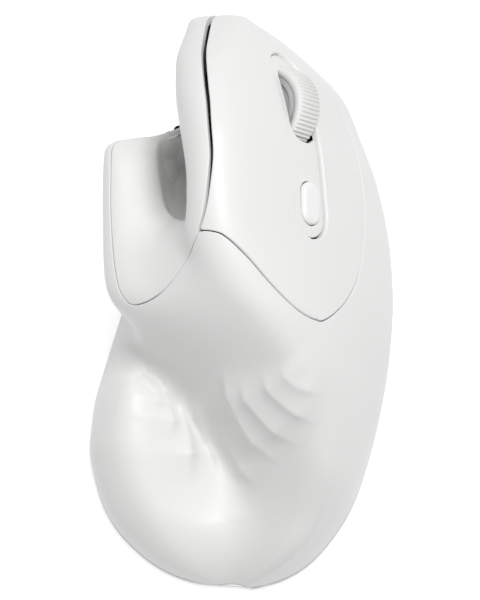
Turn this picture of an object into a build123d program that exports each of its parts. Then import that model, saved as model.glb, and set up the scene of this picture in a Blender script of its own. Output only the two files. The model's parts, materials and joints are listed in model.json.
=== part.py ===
from build123d import *
import math
import os

os.makedirs("parts", exist_ok=True)

# Overall size, millimetres: X to the right, Y to the front, Z up
BODY_WIDTH = 66.2
BODY_LENGTH = 120.7
BODY_HEIGHT = 65.1
LINE_WIDTH = 66.2
LINE_LENGTH = 120.7
LINE_HEIGHT = 65.1
CENTRE_X = 0.316
CENTRE_Y = 0.606

# Housing
WALL = 2.0
SEAM_GAP = 0.25
RIDGE_GAP_FRONT = 1.0
RIDGE_GAP_REAR = 0.35
HINGE_GAP = 0.3
LINING_DEPTH = 3.5
UNDERSIDE_Z = 0.8
BASE_TOP_Z = 2.0
SLOPE_ANGLE = 52.0

# Keys
HINGE_Y = 4.0
KEY_SWING = 0.7
KEY_SPLIT_GAP = 0.5
KEY_SPLIT_S = -29.0
SIDE_BUTTON_LENGTH = 11.0
SIDE_BUTTON_HEIGHT = 5.0
SIDE_BUTTON_PROUD = 0.7
SIDE_BUTTON_TRAVEL = 0.4
SIDE_BUTTON_Z = 37.0
SIDE_PLUNGER_XS = (-7.6, -8.3)
BACK_BUTTON_Y = 24.0
FORWARD_BUTTON_Y = 36.5
BUTTON_GAP = 0.2

# Console strip, wheel and pill button
STRIP_WIDTH = 10.8
STRIP_RECESS = 0.9
STRIP_THICK = 1.2
STRIP_REAR = (-28.4, 12.8)
STRIP_FRONT = (-29.4, 44.2)
STRIP_GAP = 0.25
WHEEL_RADIUS = 9.5
WHEEL_WIDTH = 6.8
WHEEL_S = -27.9
WHEEL_Y = 37.6
WHEEL_PROUD = 2.9
WHEEL_HUB_RADIUS = 7.2
WHEEL_SLOT_GAP = 0.9
WHEEL_RIBS = 44
RIB_DEPTH = 0.5
AXLE_RADIUS = 1.3
AXLE_FIT = 0.06
PRESS_TRAVEL = 0.45
PILL_LENGTH = 9.6
PILL_WIDTH = 5.6
PILL_S = -28.1
PILL_Y = 15.2
PILL_PROUD = 1.2
PILL_TRAVEL = 0.35

# Circuit boards
KEY_BOARD_DROP = 7.6
BOARD_THICK = 1.2
KEY_BOARD_LEFT = -40.7
KEY_BOARD_RIGHT = -11.8
KEY_BOARD_REAR = 8.0
SWITCH_LENGTH = 12.8
SWITCH_WIDTH = 5.8
SWITCH_HEIGHT = 6.5
PLUNGER_RADIUS = 1.1
PLUNGER_HEIGHT = 0.9
LEFT_SWITCH_S = -37.6
RIGHT_SWITCH_S = -15.2
KEY_SWITCH_Y = 39.0
PLUNGER_OFFSET = 3.5
PLUNGER_DEPTH = 2.4
PLUNGER_FIT = 0.08
KEY_TRAVEL = 0.5
FINGER_GAP = 0.05
CARRIAGE_HALF = 3.75
CARRIAGE_PLATE = 1.1
CHASSIS_LEGS = (2.5, 9.5)
MAIN_BOARD_Z = 5.2

# Power
CELL_RADIUS = 7.1
CELL_LENGTH = 49.2
CELL_X = 10.4
CELL_REAR = -41.0
BAY_LEFT = -4.7
BAY_RIGHT = 18.2
BAY_REAR = -45.0
BAY_FRONT = 10.4
BAY_WALL = 1.2
DOOR_FIT = 0.15
SLIDER_TRAVEL = 3.0
SLIDER_X = -10.5
SLIDER_Y = -22.0

# Feet and screws
GLIDE_THICK = 1.1
GLIDE_POCKET = 0.3
GLIDE_FIT = 0.1
SCREW_RADIUS = 1.1
SCREW_HEAD = 2.4
SCREW_FIT = 0.05
BOSS_RADIUS = 2.6
BASE_BOSSES = ((-25, -32, 25), (24.5, -27, 40), (22.8, 34, 22), (-20.8, 9, 13))

# Control lines of the form, each from the rear to the front as (y, x, z)
LINES = {
    "skirt_l": [(-52, -27.6, -9), (-43, -29.6, -9), (-30, -32.4, -9), (-18, -31.4, -9), (-7, -28.4, -9),
                (5, -25, -9), (18, -21, -9), (25, -16.5, -9), (31, -12, -9), (37, -10, -9), (55, -10, -9)],
    "base_l": [(-52, -27.6, 1), (-43, -29.6, 1), (-30, -32.9, 1), (-18, -31.9, 1), (-7, -28.9, 1),
               (5, -25, 1), (18, -21, 1), (25, -16.5, 1), (31, -12, 1), (37, -10, 1), (55, -10, 1)],
    "flank_l": [(-52, -26.8, 9), (-43, -29.6, 10), (-30, -33.4, 11), (-18, -31.4, 11), (-8, -27.4, 11),
                (0, -24.9, 10), (10, -23.5, 9), (18, -21, 7.5), (25, -17, 6.5), (31, -13, 5),
                (36, -11.5, 3), (38.6, -11.5, 1.6), (41, -10, 7), (55, -10, 11)],
    "lobe": [(-52, -21.2, 15), (-43, -23.6, 16.5), (-32, -27.9, 19.5), (-22, -27.4, 20.5), (-14, -23.9, 20),
             (-8, -22.9, 19), (0, -21.9, 18), (10, -22.5, 16.5), (22, -21, 15), (28, -18.5, 13),
             (31, -16, 10), (35, -12.5, 6), (38.6, -12, 2.2), (40, -10.3, 6), (42, -10, 14), (55, -10, 20)],
    "under": [(-50, -13, 14.5), (-43, -17, 15.5), (-32, -20, 19), (-22, -21, 20.5), (-16, -20.5, 21),
              (-12, -20, 22.5), (-9, -21, 24.5), (-5, -24, 25.5), (0, -26, 25.5), (10, -27, 24),
              (22, -27, 22.5), (29, -26, 21.5), (34, -25, 21), (36.8, -21, 19), (38.6, -12.2, 2.8),
              (39.5, -10.7, 5), (42, -10, 21), (55, -9.5, 27)],
    "rim": [(-50, -7, 13.5), (-43, -10, 13), (-32, -12, 15), (-22, -14.5, 19), (-16, -16, 24),
            (-12.5, -18, 29), (-9.5, -22, 33), (-6, -27.8, 34.5), (-2, -30.2, 34), (4, -30.8, 32.5),
            (12, -30.9, 30.5), (28, -31.2, 28.5), (34, -30.8, 27.5), (36.8, -29, 23.5), (38.4, -12, 3),
            (39.5, -10.5, 8), (42, -10, 25), (48, -9.5, 32), (55, -9, 29.5)],
    "crest": [(-50, -1, 13), (-43, -3, 12), (-32, -4.5, 12.5), (-22, -8.5, 20), (-16, -12.5, 29.5),
              (-12.5, -16, 37), (-9.5, -20.5, 40.5), (-6, -24.7, 41), (-2, -27.5, 40), (4, -28.2, 38),
              (12, -28.2, 36), (28, -28, 33.5), (34, -28, 32.3), (36.8, -26, 27), (38.4, -11.6, 4),
              (39.5, -10.3, 12), (42, -9.8, 29), (48, -9, 36), (55, -9, 32.5)],
    "inner": [(-50, 5, 16), (-43, 2.5, 15), (-32, 0.5, 18.5), (-22, -4.5, 29), (-16, -9, 38.5),
              (-12.5, -12.5, 43.5), (-9.5, -16, 46), (-6, -19, 46), (-2, -20.5, 43.5), (4, -21, 40),
              (12, -20.5, 36), (28, -18.5, 31.5), (32, -18, 29.5), (34.5, -17, 22), (37, -14, 10),
              (38.6, -11.2, 5), (39.5, -10, 20), (42, -9.5, 34), (48, -9, 40), (55, -9, 35)],
    "floor": [(-50, 9, 20), (-43, 6.5, 20.5), (-32, 4, 26.5), (-22, 0, 37), (-16, -5, 44.5),
              (-12.5, -8.5, 48.5), (-9.5, -12, 50.5), (-6, -14, 51), (-2, -15, 49.5), (3, -16, 46.5),
              (8, -16.5, 42), (13, -16, 35), (17, -14.5, 26), (21, -13, 18), (27, -14, 9), (33, -13.5, 7),
              (37, -12.5, 6), (38.6, -10.7, 7), (40, -9.3, 33), (48, -9.5, 43), (55, -9, 37.5)],
    "wall": [(-50, 12.5, 23.5), (-43, 10.5, 25.5), (-32, 7.5, 32), (-22, 4, 43), (-16, -0.5, 49.5),
             (-12.5, -4.5, 52.5), (-9.5, -8, 54), (-6, -9.5, 55.5), (-2, -10.8, 55.5), (3, -12, 52),
             (8, -12, 50), (13, -9.5, 46), (18, -7.5, 41), (22, -7, 36), (28, -8, 31), (34, -8.5, 30),
             (37, -8.5, 33), (41, -7.5, 42.5), (48, -9.5, 46), (55, -11, 40)],
    "over": [(-50, 15, 25.5), (-43, 13, 29), (-32, 11, 37), (-22, 7.5, 47), (-16, 3, 53),
             (-12.5, -0.5, 55.5), (-9.5, -4, 57), (-6, -6.5, 58.5), (-2, -8.8, 59.2), (1.5, -10.3, 58.5),
             (6, -12.8, 57), (12, -12.2, 55), (20, -12.2, 54.3), (28, -13.7, 53.5), (38, -15.3, 52),
             (47, -15, 49.5), (55, -11.7, 44)],
    "ridge_l": [(-50, 17.5, 26), (-43, 16, 31.5), (-32, 14.5, 40), (-22, 11, 49.5), (-16, 7, 55.5),
                (-9.5, 1, 60.5), (-2, -5, 63), (4, -9.2, 64), (12, -11, 64.5), (28, -12, 64),
                (38, -13.2, 61.5), (47, -13.4, 57.5), (55, -11, 50)],
    "ridge_r": [(-50, 20, 25.5), (-43, 19.5, 32), (-32, 18.5, 40), (-22, 16, 49), (-12, 11, 57),
                (-2, 3.5, 62.5), (6, -1, 65.5), (14, -2.5, 67), (28, -3, 67), (38, -3.5, 64.5),
                (47, -3, 60.5), (55, 1.5, 52)],
    "panel_u": [(-50, 20.5, 23), (-43, 21.1, 29.5), (-32, 21.6, 36.5), (-22, 20.6, 44), (-12, 18, 50),
                (-2, 13.5, 54), (6, 10.5, 56), (14, 9, 57), (28, 8, 57), (38, 6.5, 55), (50, 4.5, 50),
                (60, 2, 44)],
    "panel_l": [(-50, 20.9, 19), (-43, 22.4, 24.5), (-32, 24.6, 29), (-22, 25.5, 33.5), (-12, 25.3, 37),
                (-2, 24, 39.5), (6, 22, 41), (14, 21, 42), (28, 19, 42.5), (38, 16, 42.5), (46, 13.5, 42),
                (55, 7, 40.5), (60, 4, 37)],
    "shoulder": [(-50, 21.8, 14), (-43, 23.8, 18), (-32, 27.1, 20), (-22, 28.9, 22), (-12, 30, 24),
                 (-2, 30.5, 25.5), (6, 30, 26.5), (14, 29.2, 27.5), (28, 26.3, 29), (38, 22.3, 30.5),
                 (46, 20, 31), (50, 15.7, 31), (55, 10.5, 31), (60, 6, 28)],
    "flank_r": [(-50, 22.2, 9), (-43, 24.2, 10), (-32, 28.2, 11), (-22, 31, 12), (-12, 32.9, 13),
                (-2, 34, 13.5), (6, 34, 14), (14, 33.6, 15), (28, 30.9, 17), (38, 27, 18), (46, 23.8, 19),
                (50.5, 18.3, 19), (55, 13.7, 19), (60, 9, 17)],
    "base_r": [(-50, 22.2, 1), (-43, 24.2, 1), (-32, 27.8, 1), (-22, 30.2, 1), (-12, 32, 1), (3, 33, 1),
               (20, 31.5, 1), (36, 26, 1), (46, 22, 1), (55, 14.5, 1), (60, 9.5, 1)],
    "skirt_r": [(-50, 22.2, -9), (-43, 24.2, -9), (-32, 27.8, -9), (-22, 30.2, -9), (-12, 32, -9),
                (3, 33, -9), (20, 31.5, -9), (36, 26, -9), (46, 22, -9), (55, 14.5, -9), (60, 9.5, -9)],
}
NAMES = list(LINES)
SKIRT_Z = -9.0
REAR_END = -60.0
REAR_CLOSE_X = -0.8
REAR_CLOSE_POWER = 0.6
FRONT_END = 61.0
REAR_START = -38.0
FRONT_START = 49.0
SMOOTHING = 2.2
STATIONS = (-59.93, -59.6, -58.8, -57.3, -55, -51.5, -47, -41.5, -35, -29, -24, -20, -16.5, -13.5, -10.5, -7.5,
            -4.5, -1, 3, 8, 13, 17, 21, 27, 31, 33.5, 35.3, 36.8, 38.2, 39.8, 41.6, 44.5, 48, 52, 55, 57, 58.2,
            59.4, 60.03, 60.4, 60.66, 60.84, 60.93)
CAVITY_STATIONS = STATIONS[3:-6]
SHEET_STATIONS = (-16, -12, -9, -6, -3, 1, 6, 12, 17, 22, 28, 33, 36, 38, 40, 42, 46, 49, 52.5)


def blended(points, y, column):
    total = 0.0
    weights = 0.0
    for step in range(-5, 6):
        offset = step * SMOOTHING / 2
        weight = math.exp(-0.5 * (offset / SMOOTHING) ** 2)
        at = y + offset
        value = points[0][column]
        if at >= points[-1][0]:
            value = points[-1][column]
        for low, high in zip(points, points[1:]):
            if low[0] <= at < high[0]:
                share = (at - low[0]) / (high[0] - low[0])
                value = low[column] + (high[column] - low[column]) * share
        total += weight * value
        weights += weight
    return total / weights


def controls(y, inset=0.0):
    """Control polygon of the section at y, moved inwards by inset."""
    rear = min(max((REAR_START - y) / (REAR_START - REAR_END - inset), 0.0), 1.0)
    front = min(max((y - FRONT_START) / (FRONT_END - inset - FRONT_START), 0.0), 1.0)
    close_rear = math.sqrt(1 - rear ** 2.2)
    close_front = (1 - front ** 5) ** (1 / 3)
    flat = [(blended(LINES[name], y, 1), blended(LINES[name], y, 2)) for name in NAMES]
    moved = []
    for index, (x, z) in enumerate(flat):
        before = flat[max(index - 1, 0)]
        after = flat[min(index + 1, len(flat) - 1)]
        dx, dz = after[0] - before[0], after[1] - before[1]
        length = math.hypot(dx, dz)
        moved.append((x + inset * dz / length, z - inset * dx / length))
    moved[0] = (moved[0][0], SKIRT_Z)
    moved[-1] = (moved[-1][0], SKIRT_Z)
    result = []
    for x, z in moved:
        x = REAR_CLOSE_X + (x - REAR_CLOSE_X) * close_rear
        x = -3.0 + (x + 3.0) * close_front
        z = SKIRT_Z + (z - SKIRT_Z) * close_rear ** REAR_CLOSE_POWER * close_front
        result.append((x * BODY_WIDTH / LINE_WIDTH, z * BODY_HEIGHT / LINE_HEIGHT))
    return result


def section_points(polygon, steps=1):
    """Points on the cubic B-spline of a control polygon."""
    first = tuple(2 * a - b for a, b in zip(polygon[0], polygon[1]))
    last = tuple(2 * a - b for a, b in zip(polygon[-1], polygon[-2]))
    ring = [first] + list(polygon) + [last]
    points = []
    for index in range(len(polygon) - 1):
        for step in range(steps):
            t = step / steps
            weights = ((1 - t) ** 3 / 6, (3 * t ** 3 - 6 * t ** 2 + 4) / 6,
                       (-3 * t ** 3 + 3 * t ** 2 + 3 * t + 1) / 6, t ** 3 / 6)
            points.append(tuple(sum(w * ring[index + k][axis] for k, w in enumerate(weights)) for axis in (0, 1)))
    points.append(polygon[-1])
    return points


def foot_edge(y, right):
    """Where the section at y meets the joint between housing and base plate."""
    points = section_points(controls(y), 8)
    if right:
        points = points[::-1]
    for low, high in zip(points, points[1:]):
        if low[1] < BASE_TOP_Z <= high[1]:
            return low[0] + (high[0] - low[0]) * (BASE_TOP_Z - low[1]) / (high[1] - low[1])
    return None


def foot_end(inside, outside):
    """Last y towards outside whose section still reaches the joint."""
    for step in range(30):
        middle = (inside + outside) / 2
        if foot_edge(middle, False) is None:
            outside = middle
        else:
            inside = middle
    return inside


def along(y):
    return y * BODY_LENGTH / LINE_LENGTH


def shifted_station(y, inset):
    if y < REAR_START:
        return y + inset * (REAR_START - y) / (REAR_START - REAR_END)
    if y > FRONT_START:
        return y - inset * (y - FRONT_START) / (FRONT_END - FRONT_START)
    return y


def form(inset, stations):
    """Solid of the outer form, moved inwards by inset."""
    faces = []
    for y in stations:
        at = shifted_station(y, inset)
        curve = Spline(*[(x, along(at), z) for x, z in section_points(controls(at, inset))])
        faces.append(make_face([curve, Line(curve @ 1, curve @ 0)]))
    return loft(faces)


def surface_height(s, y):
    """Height of the outer surface above the slope frame at a place on the right slope."""
    best = None
    points = section_points(controls(y * LINE_LENGTH / BODY_LENGTH), 8)
    places = [(x * COS - z * SIN, x * SIN + z * COS) for x, z in points]
    for low, high in zip(places, places[1:]):
        if min(low[0], high[0]) <= s <= max(low[0], high[0]) and high[0] != low[0]:
            height = low[1] + (high[1] - low[1]) * (s - low[0]) / (high[0] - low[0])
            best = height if best is None else max(best, height)
    return best


# The slope frame: s runs down the right slope, t to the front, h out of it
COS = math.cos(math.radians(SLOPE_ANGLE))
SIN = math.sin(math.radians(SLOPE_ANGLE))
SLOPE = Plane(origin=(0, 0, 0), x_dir=(COS, 0, -SIN), z_dir=(SIN, 0, COS))
RIDGE_COS = 0.9165
RIDGE_SIN = 0.40
RIDGE = Plane(origin=(0, 0, 0), x_dir=(RIDGE_COS, 0, RIDGE_SIN), z_dir=(-RIDGE_SIN, 0, RIDGE_COS))


def box(x0, x1, y0, y1, z0, z1):
    return Pos((x0 + x1) / 2, (y0 + y1) / 2, (z0 + z1) / 2) * Box(x1 - x0, y1 - y0, z1 - z0)


def slope_box(s0, s1, t0, t1, h0, h1):
    return SLOPE.location * box(s0, s1, t0, t1, h0, h1)


def slope_post(s, t, h0, h1, radius):
    return SLOPE.location * Pos(s, t, (h0 + h1) / 2) * Cylinder(radius, h1 - h0)


def slope_rod(s0, s1, t, h, radius):
    return SLOPE.location * Pos((s0 + s1) / 2, t, h) * Rot(0, 90, 0) * Cylinder(radius, s1 - s0)


def slope_prism(outline, h0, h1, plane=SLOPE):
    face = plane.location * Pos(0, 0, h0) * make_face(Polyline(*outline, close=True))
    return extrude(face, h1 - h0, dir=plane.z_dir)


def post(x, y, z0, z1, radius):
    return Pos(x, y, (z0 + z1) / 2) * Cylinder(radius, z1 - z0)


def stadium(rear, front, width, h0, h1):
    length = math.dist(rear, front) + width
    turn = math.degrees(math.atan2(front[1] - rear[1], front[0] - rear[0]))
    middle = ((rear[0] + front[0]) / 2, (rear[1] + front[1]) / 2)
    sketch = SlotOverall(length, width)
    return SLOPE.location * Pos(middle[0], middle[1], h0) * Rot(0, 0, turn) * extrude(sketch, h1 - h0)


def save(name, *solids):
    moved = [solid.moved(Location((-CENTRE_X, -CENTRE_Y, 0))) for shape in solids for solid in shape.solids()]
    export_step(moved[0] if len(moved) == 1 else Compound(children=moved), f"parts/{name}.step")


# Seams: the thumb panel in plan, the ridge in the ridge frame, the key cover in the slope frame
THUMB_SEAM = [(-28.6, 64), (-28.5, 26.6), (-28.5, 19.5), (-27.9, 7.6), (-26.8, -1.0), (-25.1, -4.7), (-22.9, -6.2),
              (-19.6, -5.9), (-16.3, -4.1), (-13.1, -0.8), (-10.9, 1.8), (-9.2, 4.7)]
RIDGE_SEAM = [(16.1, 4.7), (18.2, 9.0), (19.4, 13.9), (20.2, 22.8), (18.8, 34.4), (16.4, 44.4), (13.8, 54.0),
              (13.0, 57.5), (11.5, 64.0)]
COVER_SEAM = [(-54.0, 4.7), (-52.9, 4.1), (-48.4, 0.0), (-42.6, -5.5), (-36.2, -10.0), (-31.0, -11.6), (-26.5, -11.3),
              (-18.1, -5.9), (-11.6, 1.2), (-9.2, 6.3), (-7.3, 13.3), (-6.0, 19.0), (-5.9, 24.0), (-6.1, 31.2),
              (-6.3, 35.0), (-8.0, 39.3), (-10.6, 42.9), (-13.7, 46.8), (-16.0, 50.5), (-17.5, 56.0), (-18.0, 66.0)]


def inset_outline(points, gap):
    """Outline of a seam moved to its left by gap."""
    result = []
    for index, (x, y) in enumerate(points):
        before = points[max(index - 1, 0)]
        after = points[min(index + 1, len(points) - 1)]
        length = math.dist(before, after)
        result.append((x - gap * (after[1] - before[1]) / length, y + gap * (after[0] - before[0]) / length))
    return result


def scaled(points):
    return [(x, along(y)) for x, y in points]


def thumb_prism(gap):
    outline = inset_outline(scaled(THUMB_SEAM), gap)
    edge = [(18, outline[-1][1]), (18, outline[0][1])]
    return extrude(make_face(Polyline(*outline, *edge, close=True)), 90)


def ridge_side(gap_rear, gap_front, left):
    seam = [(p + gap_rear + (gap_front - gap_rear) * max(t, 0) / 60, along(t)) for p, t in RIDGE_SEAM]
    seam = [(seam[0][0], along(-30))] + seam
    far = -90 if left else 110
    return slope_prism(seam + [(far, seam[-1][1]), (far, seam[0][1])], -70, 90, RIDGE)


def cover_prism(gap):
    seam = inset_outline(scaled(COVER_SEAM), gap)
    return slope_prism(seam + [(-90, seam[-1][1]), (-90, seam[0][1])], 5, 75)


def lining_region(depth):
    """Everything above a sheet that lies depth under the thumb trough."""
    first = NAMES.index("crest")
    last = NAMES.index("ridge_l")
    faces = []
    for y in SHEET_STATIONS:
        row = controls(y, depth)[first:last + 1]
        row = [(-50, row[0][1])] + row + [(row[-1][0] + 8, row[-1][1] - 1), (row[-1][0] + 8, 95), (-50, 95)]
        faces.append(make_face(Polyline(*[(x, along(y), z) for x, z in row], close=True)))
    return loft(faces, ruled=True)


outer_form = form(0.0, STATIONS)
cavity_form = form(WALL, CAVITY_STATIONS)
upper_space = box(-120, 120, -120, 120, BASE_TOP_Z + SEAM_GAP, 100)
shell = (outer_form & upper_space) - cavity_form

# Button cover and thumb panel, cut from the shell along the seams
ridge_line = ridge_side(0, 0, False)
thumb_line = ridge_side(0, 0, True)
sheet = lining_region(LINING_DEPTH)
lining_end = box(-60, 60, -60, along(SHEET_STATIONS[-1]) - SEAM_GAP, 0, 100)
cover = shell & (cover_prism(SEAM_GAP) & ridge_side(RIDGE_GAP_REAR, RIDGE_GAP_FRONT, False))
lining = shell & (thumb_prism(SEAM_GAP) & thumb_line & sheet.moved(Location((0, 0, SEAM_GAP))) & lining_end)
housing = (shell - (thumb_prism(0) & thumb_line & sheet) - (cover_prism(0) & ridge_line)).solids()
housing = max(housing, key=lambda solid: solid.volume)
lining = max(lining.solids(), key=lambda solid: solid.volume)

# Places that follow the outer surface
hinge_y = along(HINGE_Y)
wheel_y = along(WHEEL_Y)
pill_y = along(PILL_Y)
wheel_h = surface_height(WHEEL_S, wheel_y) + WHEEL_PROUD - WHEEL_RADIUS
board_top = wheel_h - KEY_BOARD_DROP
board_under = board_top - BOARD_THICK
plunger_top = board_top + SWITCH_HEIGHT + PLUNGER_HEIGHT
strip_rear = (STRIP_REAR[0], along(STRIP_REAR[1]))
strip_front = (STRIP_FRONT[0], along(STRIP_FRONT[1]))
key_switch_y = wheel_y + KEY_SWITCH_Y - WHEEL_Y
plunger_y = key_switch_y + PLUNGER_OFFSET

# Keys and the fixed rear of the cover
cover -= stadium(strip_rear, strip_front, STRIP_WIDTH + 2 * STRIP_GAP, 10, 70)
split = KEY_SPLIT_GAP / 2
front_of_hinge = hinge_y + HINGE_GAP / 2
left_key = cover & slope_box(-90, KEY_SPLIT_S - split, front_of_hinge, 110, -20, 90)
right_key = cover & slope_box(KEY_SPLIT_S + split, 30, front_of_hinge, 110, -20, 90)
key_bridge = cover & slope_box(-90, 30, -60, hinge_y - HINGE_GAP / 2, -20, 90)


def finger(s):
    top = surface_height(s, plunger_y) - WALL / 2
    return slope_box(s - 1.2, s + 1.2, plunger_y - 1.5, plunger_y + 1.5, plunger_top + FINGER_GAP, top)


save("left_key", left_key + finger(LEFT_SWITCH_S))
save("right_key", right_key + finger(RIGHT_SWITCH_S))
save("key_bridge", key_bridge)

# Console strip with its wheel slot and pill opening
lowered = outer_form.moved(Location((-SIN * STRIP_RECESS, 0, -COS * STRIP_RECESS)))
bottom = STRIP_RECESS + STRIP_THICK
undercut = outer_form.moved(Location((-SIN * bottom, 0, -COS * bottom)))
strip = (stadium(strip_rear, strip_front, STRIP_WIDTH, 20, 70) & lowered) - undercut
slot_half = WHEEL_WIDTH / 2 + WHEEL_SLOT_GAP
strip -= slope_box(WHEEL_S - slot_half, WHEEL_S + slot_half, wheel_y - WHEEL_RADIUS, wheel_y + WHEEL_RADIUS, 10, 70)
pill_half = (PILL_LENGTH - PILL_WIDTH) / 2


def pill(extra, h0, h1):
    return stadium((PILL_S, pill_y - pill_half), (PILL_S, pill_y + pill_half), PILL_WIDTH + extra, h0, h1)


strip -= pill(2 * BUTTON_GAP, 10, 70)
save("console_strip", strip)

# Pill button and its switch
strip_h = surface_height(PILL_S, pill_y) - STRIP_RECESS
pill_top = strip_h + PILL_PROUD
cap = pill(0, strip_h - STRIP_THICK, pill_top)
cap = fillet(cap.faces().sort_by(Axis((0, 0, 0), SLOPE.z_dir))[-1].edges(), 0.7)
pill_switch_top = board_top + 4.5
stem = slope_post(PILL_S, pill_y, pill_switch_top + PILL_TRAVEL + 0.05, strip_h - STRIP_THICK, 1.5)
save("dpi_button", cap + stem)
save("dpi_switch", slope_box(PILL_S - 3, PILL_S + 3, pill_y - 3, pill_y + 3, board_top, board_top + 3.5)
     + slope_post(PILL_S, pill_y, board_top + 3.5, pill_switch_top, 1.6))

# Scroll wheel on its axle
outline = []
for index in range(WHEEL_RIBS * 4):
    angle = 2 * math.pi * index / (WHEEL_RIBS * 4)
    radius = WHEEL_RADIUS if index % 4 < 2 else WHEEL_RADIUS - RIB_DEPTH
    outline.append((radius * math.cos(angle), radius * math.sin(angle)))


def on_wheel(shape, s=0.0):
    return SLOPE.location * Pos(WHEEL_S + s, wheel_y, wheel_h) * Rot(0, 90, 0) * shape


tyre = extrude(make_face(Polyline(*outline, close=True)), WHEEL_WIDTH / 2, both=True)
tyre -= Cylinder(WHEEL_HUB_RADIUS, WHEEL_WIDTH + 1)
save("wheel_tyre", on_wheel(tyre))
hub = Cylinder(WHEEL_HUB_RADIUS, WHEEL_WIDTH - 0.6) - Cylinder(AXLE_RADIUS, WHEEL_WIDTH + 1)
for side in (1, -1):
    hub -= Pos(0, 0, side * (WHEEL_WIDTH / 2 + 0.7)) * (Cylinder(WHEEL_HUB_RADIUS - 1.4, 3) - Cylinder(2.6, 3))
save("wheel_hub", on_wheel(hub))
axle_left = WHEEL_S - CARRIAGE_HALF - CARRIAGE_PLATE
axle_right = WHEEL_S + CARRIAGE_HALF + CARRIAGE_PLATE + 2.3
save("wheel_axle", slope_rod(axle_left, axle_right, wheel_y, wheel_h, AXLE_RADIUS))

# Carriage that lets the wheel be pressed
low = board_top + PRESS_TRAVEL + 0.15
arm_rear = wheel_y - WHEEL_RADIUS - 2.2
carriage = None
for side in (-1, 1):
    near = WHEEL_S + side * CARRIAGE_HALF
    far = WHEEL_S + side * (CARRIAGE_HALF + CARRIAGE_PLATE)
    plate = slope_box(min(near, far), max(near, far), wheel_y - 3.6, wheel_y + 3.9, low, wheel_h + 2.0)
    plate += slope_box(min(near, far), max(near, far), arm_rear, wheel_y, low, low + 3)
    carriage = plate if carriage is None else carriage + plate
span = CARRIAGE_HALF + CARRIAGE_PLATE
carriage += slope_box(WHEEL_S - span, WHEEL_S + span, arm_rear, arm_rear + 1.6, low, low + 4.4)
carriage += slope_box(WHEEL_S - 2, WHEEL_S + 2, arm_rear - 5.3, arm_rear, low + 2.9, low + 4.4)
carriage -= slope_rod(WHEEL_S - span - 1, WHEEL_S + span + 1, wheel_y, wheel_h, AXLE_RADIUS + AXLE_FIT)
save("wheel_carriage", carriage)
press_y = arm_rear - 3.4
press_top = low + 2.9 - PRESS_TRAVEL - 0.05
save("middle_switch", slope_box(WHEEL_S - 3, WHEEL_S + 3, press_y - 3, press_y + 3, board_top, press_top - 0.6)
     + slope_post(WHEEL_S, press_y, press_top - 0.6, press_top, 1.4))
encoder_s = WHEEL_S + span + 0.3
encoder = slope_box(encoder_s, encoder_s + 3.1, wheel_y - 5, wheel_y + 3.6, board_top, wheel_h + 1.95)
encoder -= slope_box(encoder_s - 1, encoder_s + 5, wheel_y - 1.7, wheel_y + 1.7, wheel_h - 2.2, wheel_h + 1.4)
save("wheel_encoder", encoder)

# Key switches with their plungers
for name, s in (("left", LEFT_SWITCH_S), ("right", RIGHT_SWITCH_S)):
    half = SWITCH_WIDTH / 2
    case = slope_box(s - half, s + half, key_switch_y - SWITCH_LENGTH / 2, key_switch_y + SWITCH_LENGTH / 2,
                     board_top, board_top + SWITCH_HEIGHT)
    well = plunger_top - PLUNGER_DEPTH
    case -= slope_post(s, plunger_y, well - KEY_TRAVEL - 0.1, plunger_top + 1, PLUNGER_RADIUS + PLUNGER_FIT)
    save(f"{name}_switch", case)
    save(f"{name}_plunger", slope_post(s, plunger_y, well, plunger_top, PLUNGER_RADIUS))

# Sloped key board
key_board = slope_box(KEY_BOARD_LEFT, KEY_BOARD_RIGHT, along(KEY_BOARD_REAR), wheel_y + 10.2, board_under, board_top)
key_board -= slope_box(WHEEL_S - 3.9, WHEEL_S + 3.9, wheel_y - 6.8, wheel_y + 6.8, board_under - 1, board_top + 1)
rail_top = board_under
rail_low = rail_top - 1.6
bar_ys = (pill_y - 1.2, wheel_y + 8.2)
screw_places = [(s, y + 1.2) for s in (-35.5, -13) for y in bar_ys]
for s, y in screw_places:
    key_board -= slope_post(s, y, board_under - 1, board_top + 1, 0.8 + SCREW_FIT)
save("key_board", key_board)

# Chassis that carries the key board
chassis = slope_box(-36.5, -34.5, bar_ys[0], bar_ys[1] + 2, rail_low, rail_top)
chassis += slope_box(-14, -12, bar_ys[0], bar_ys[1] + 2, rail_low, rail_top)
for y in bar_ys:
    chassis += slope_box(-36.5, -12, y, y + 2.2, rail_low, rail_top)
    for x in CHASSIS_LEGS:
        chassis += box(x - 1.6, x + 1.6, y, y + 2.2, BASE_TOP_Z, 50) - slope_box(-80, 60, 0, 80, rail_top, rail_top + 60)
        chassis += box(x - 3, x + 3, y - 1.5, y + 3.5, BASE_TOP_Z, BASE_TOP_Z + 1.2)
for s, y in screw_places:
    chassis -= slope_post(s, y, rail_low - 1, rail_top + 1, 0.7)
save("chassis", chassis)
board_screws = [slope_post(s, y, rail_low, board_top, 0.7) + slope_post(s, y, board_top, board_top + 0.8, 1.4)
                for s, y in screw_places]

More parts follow.
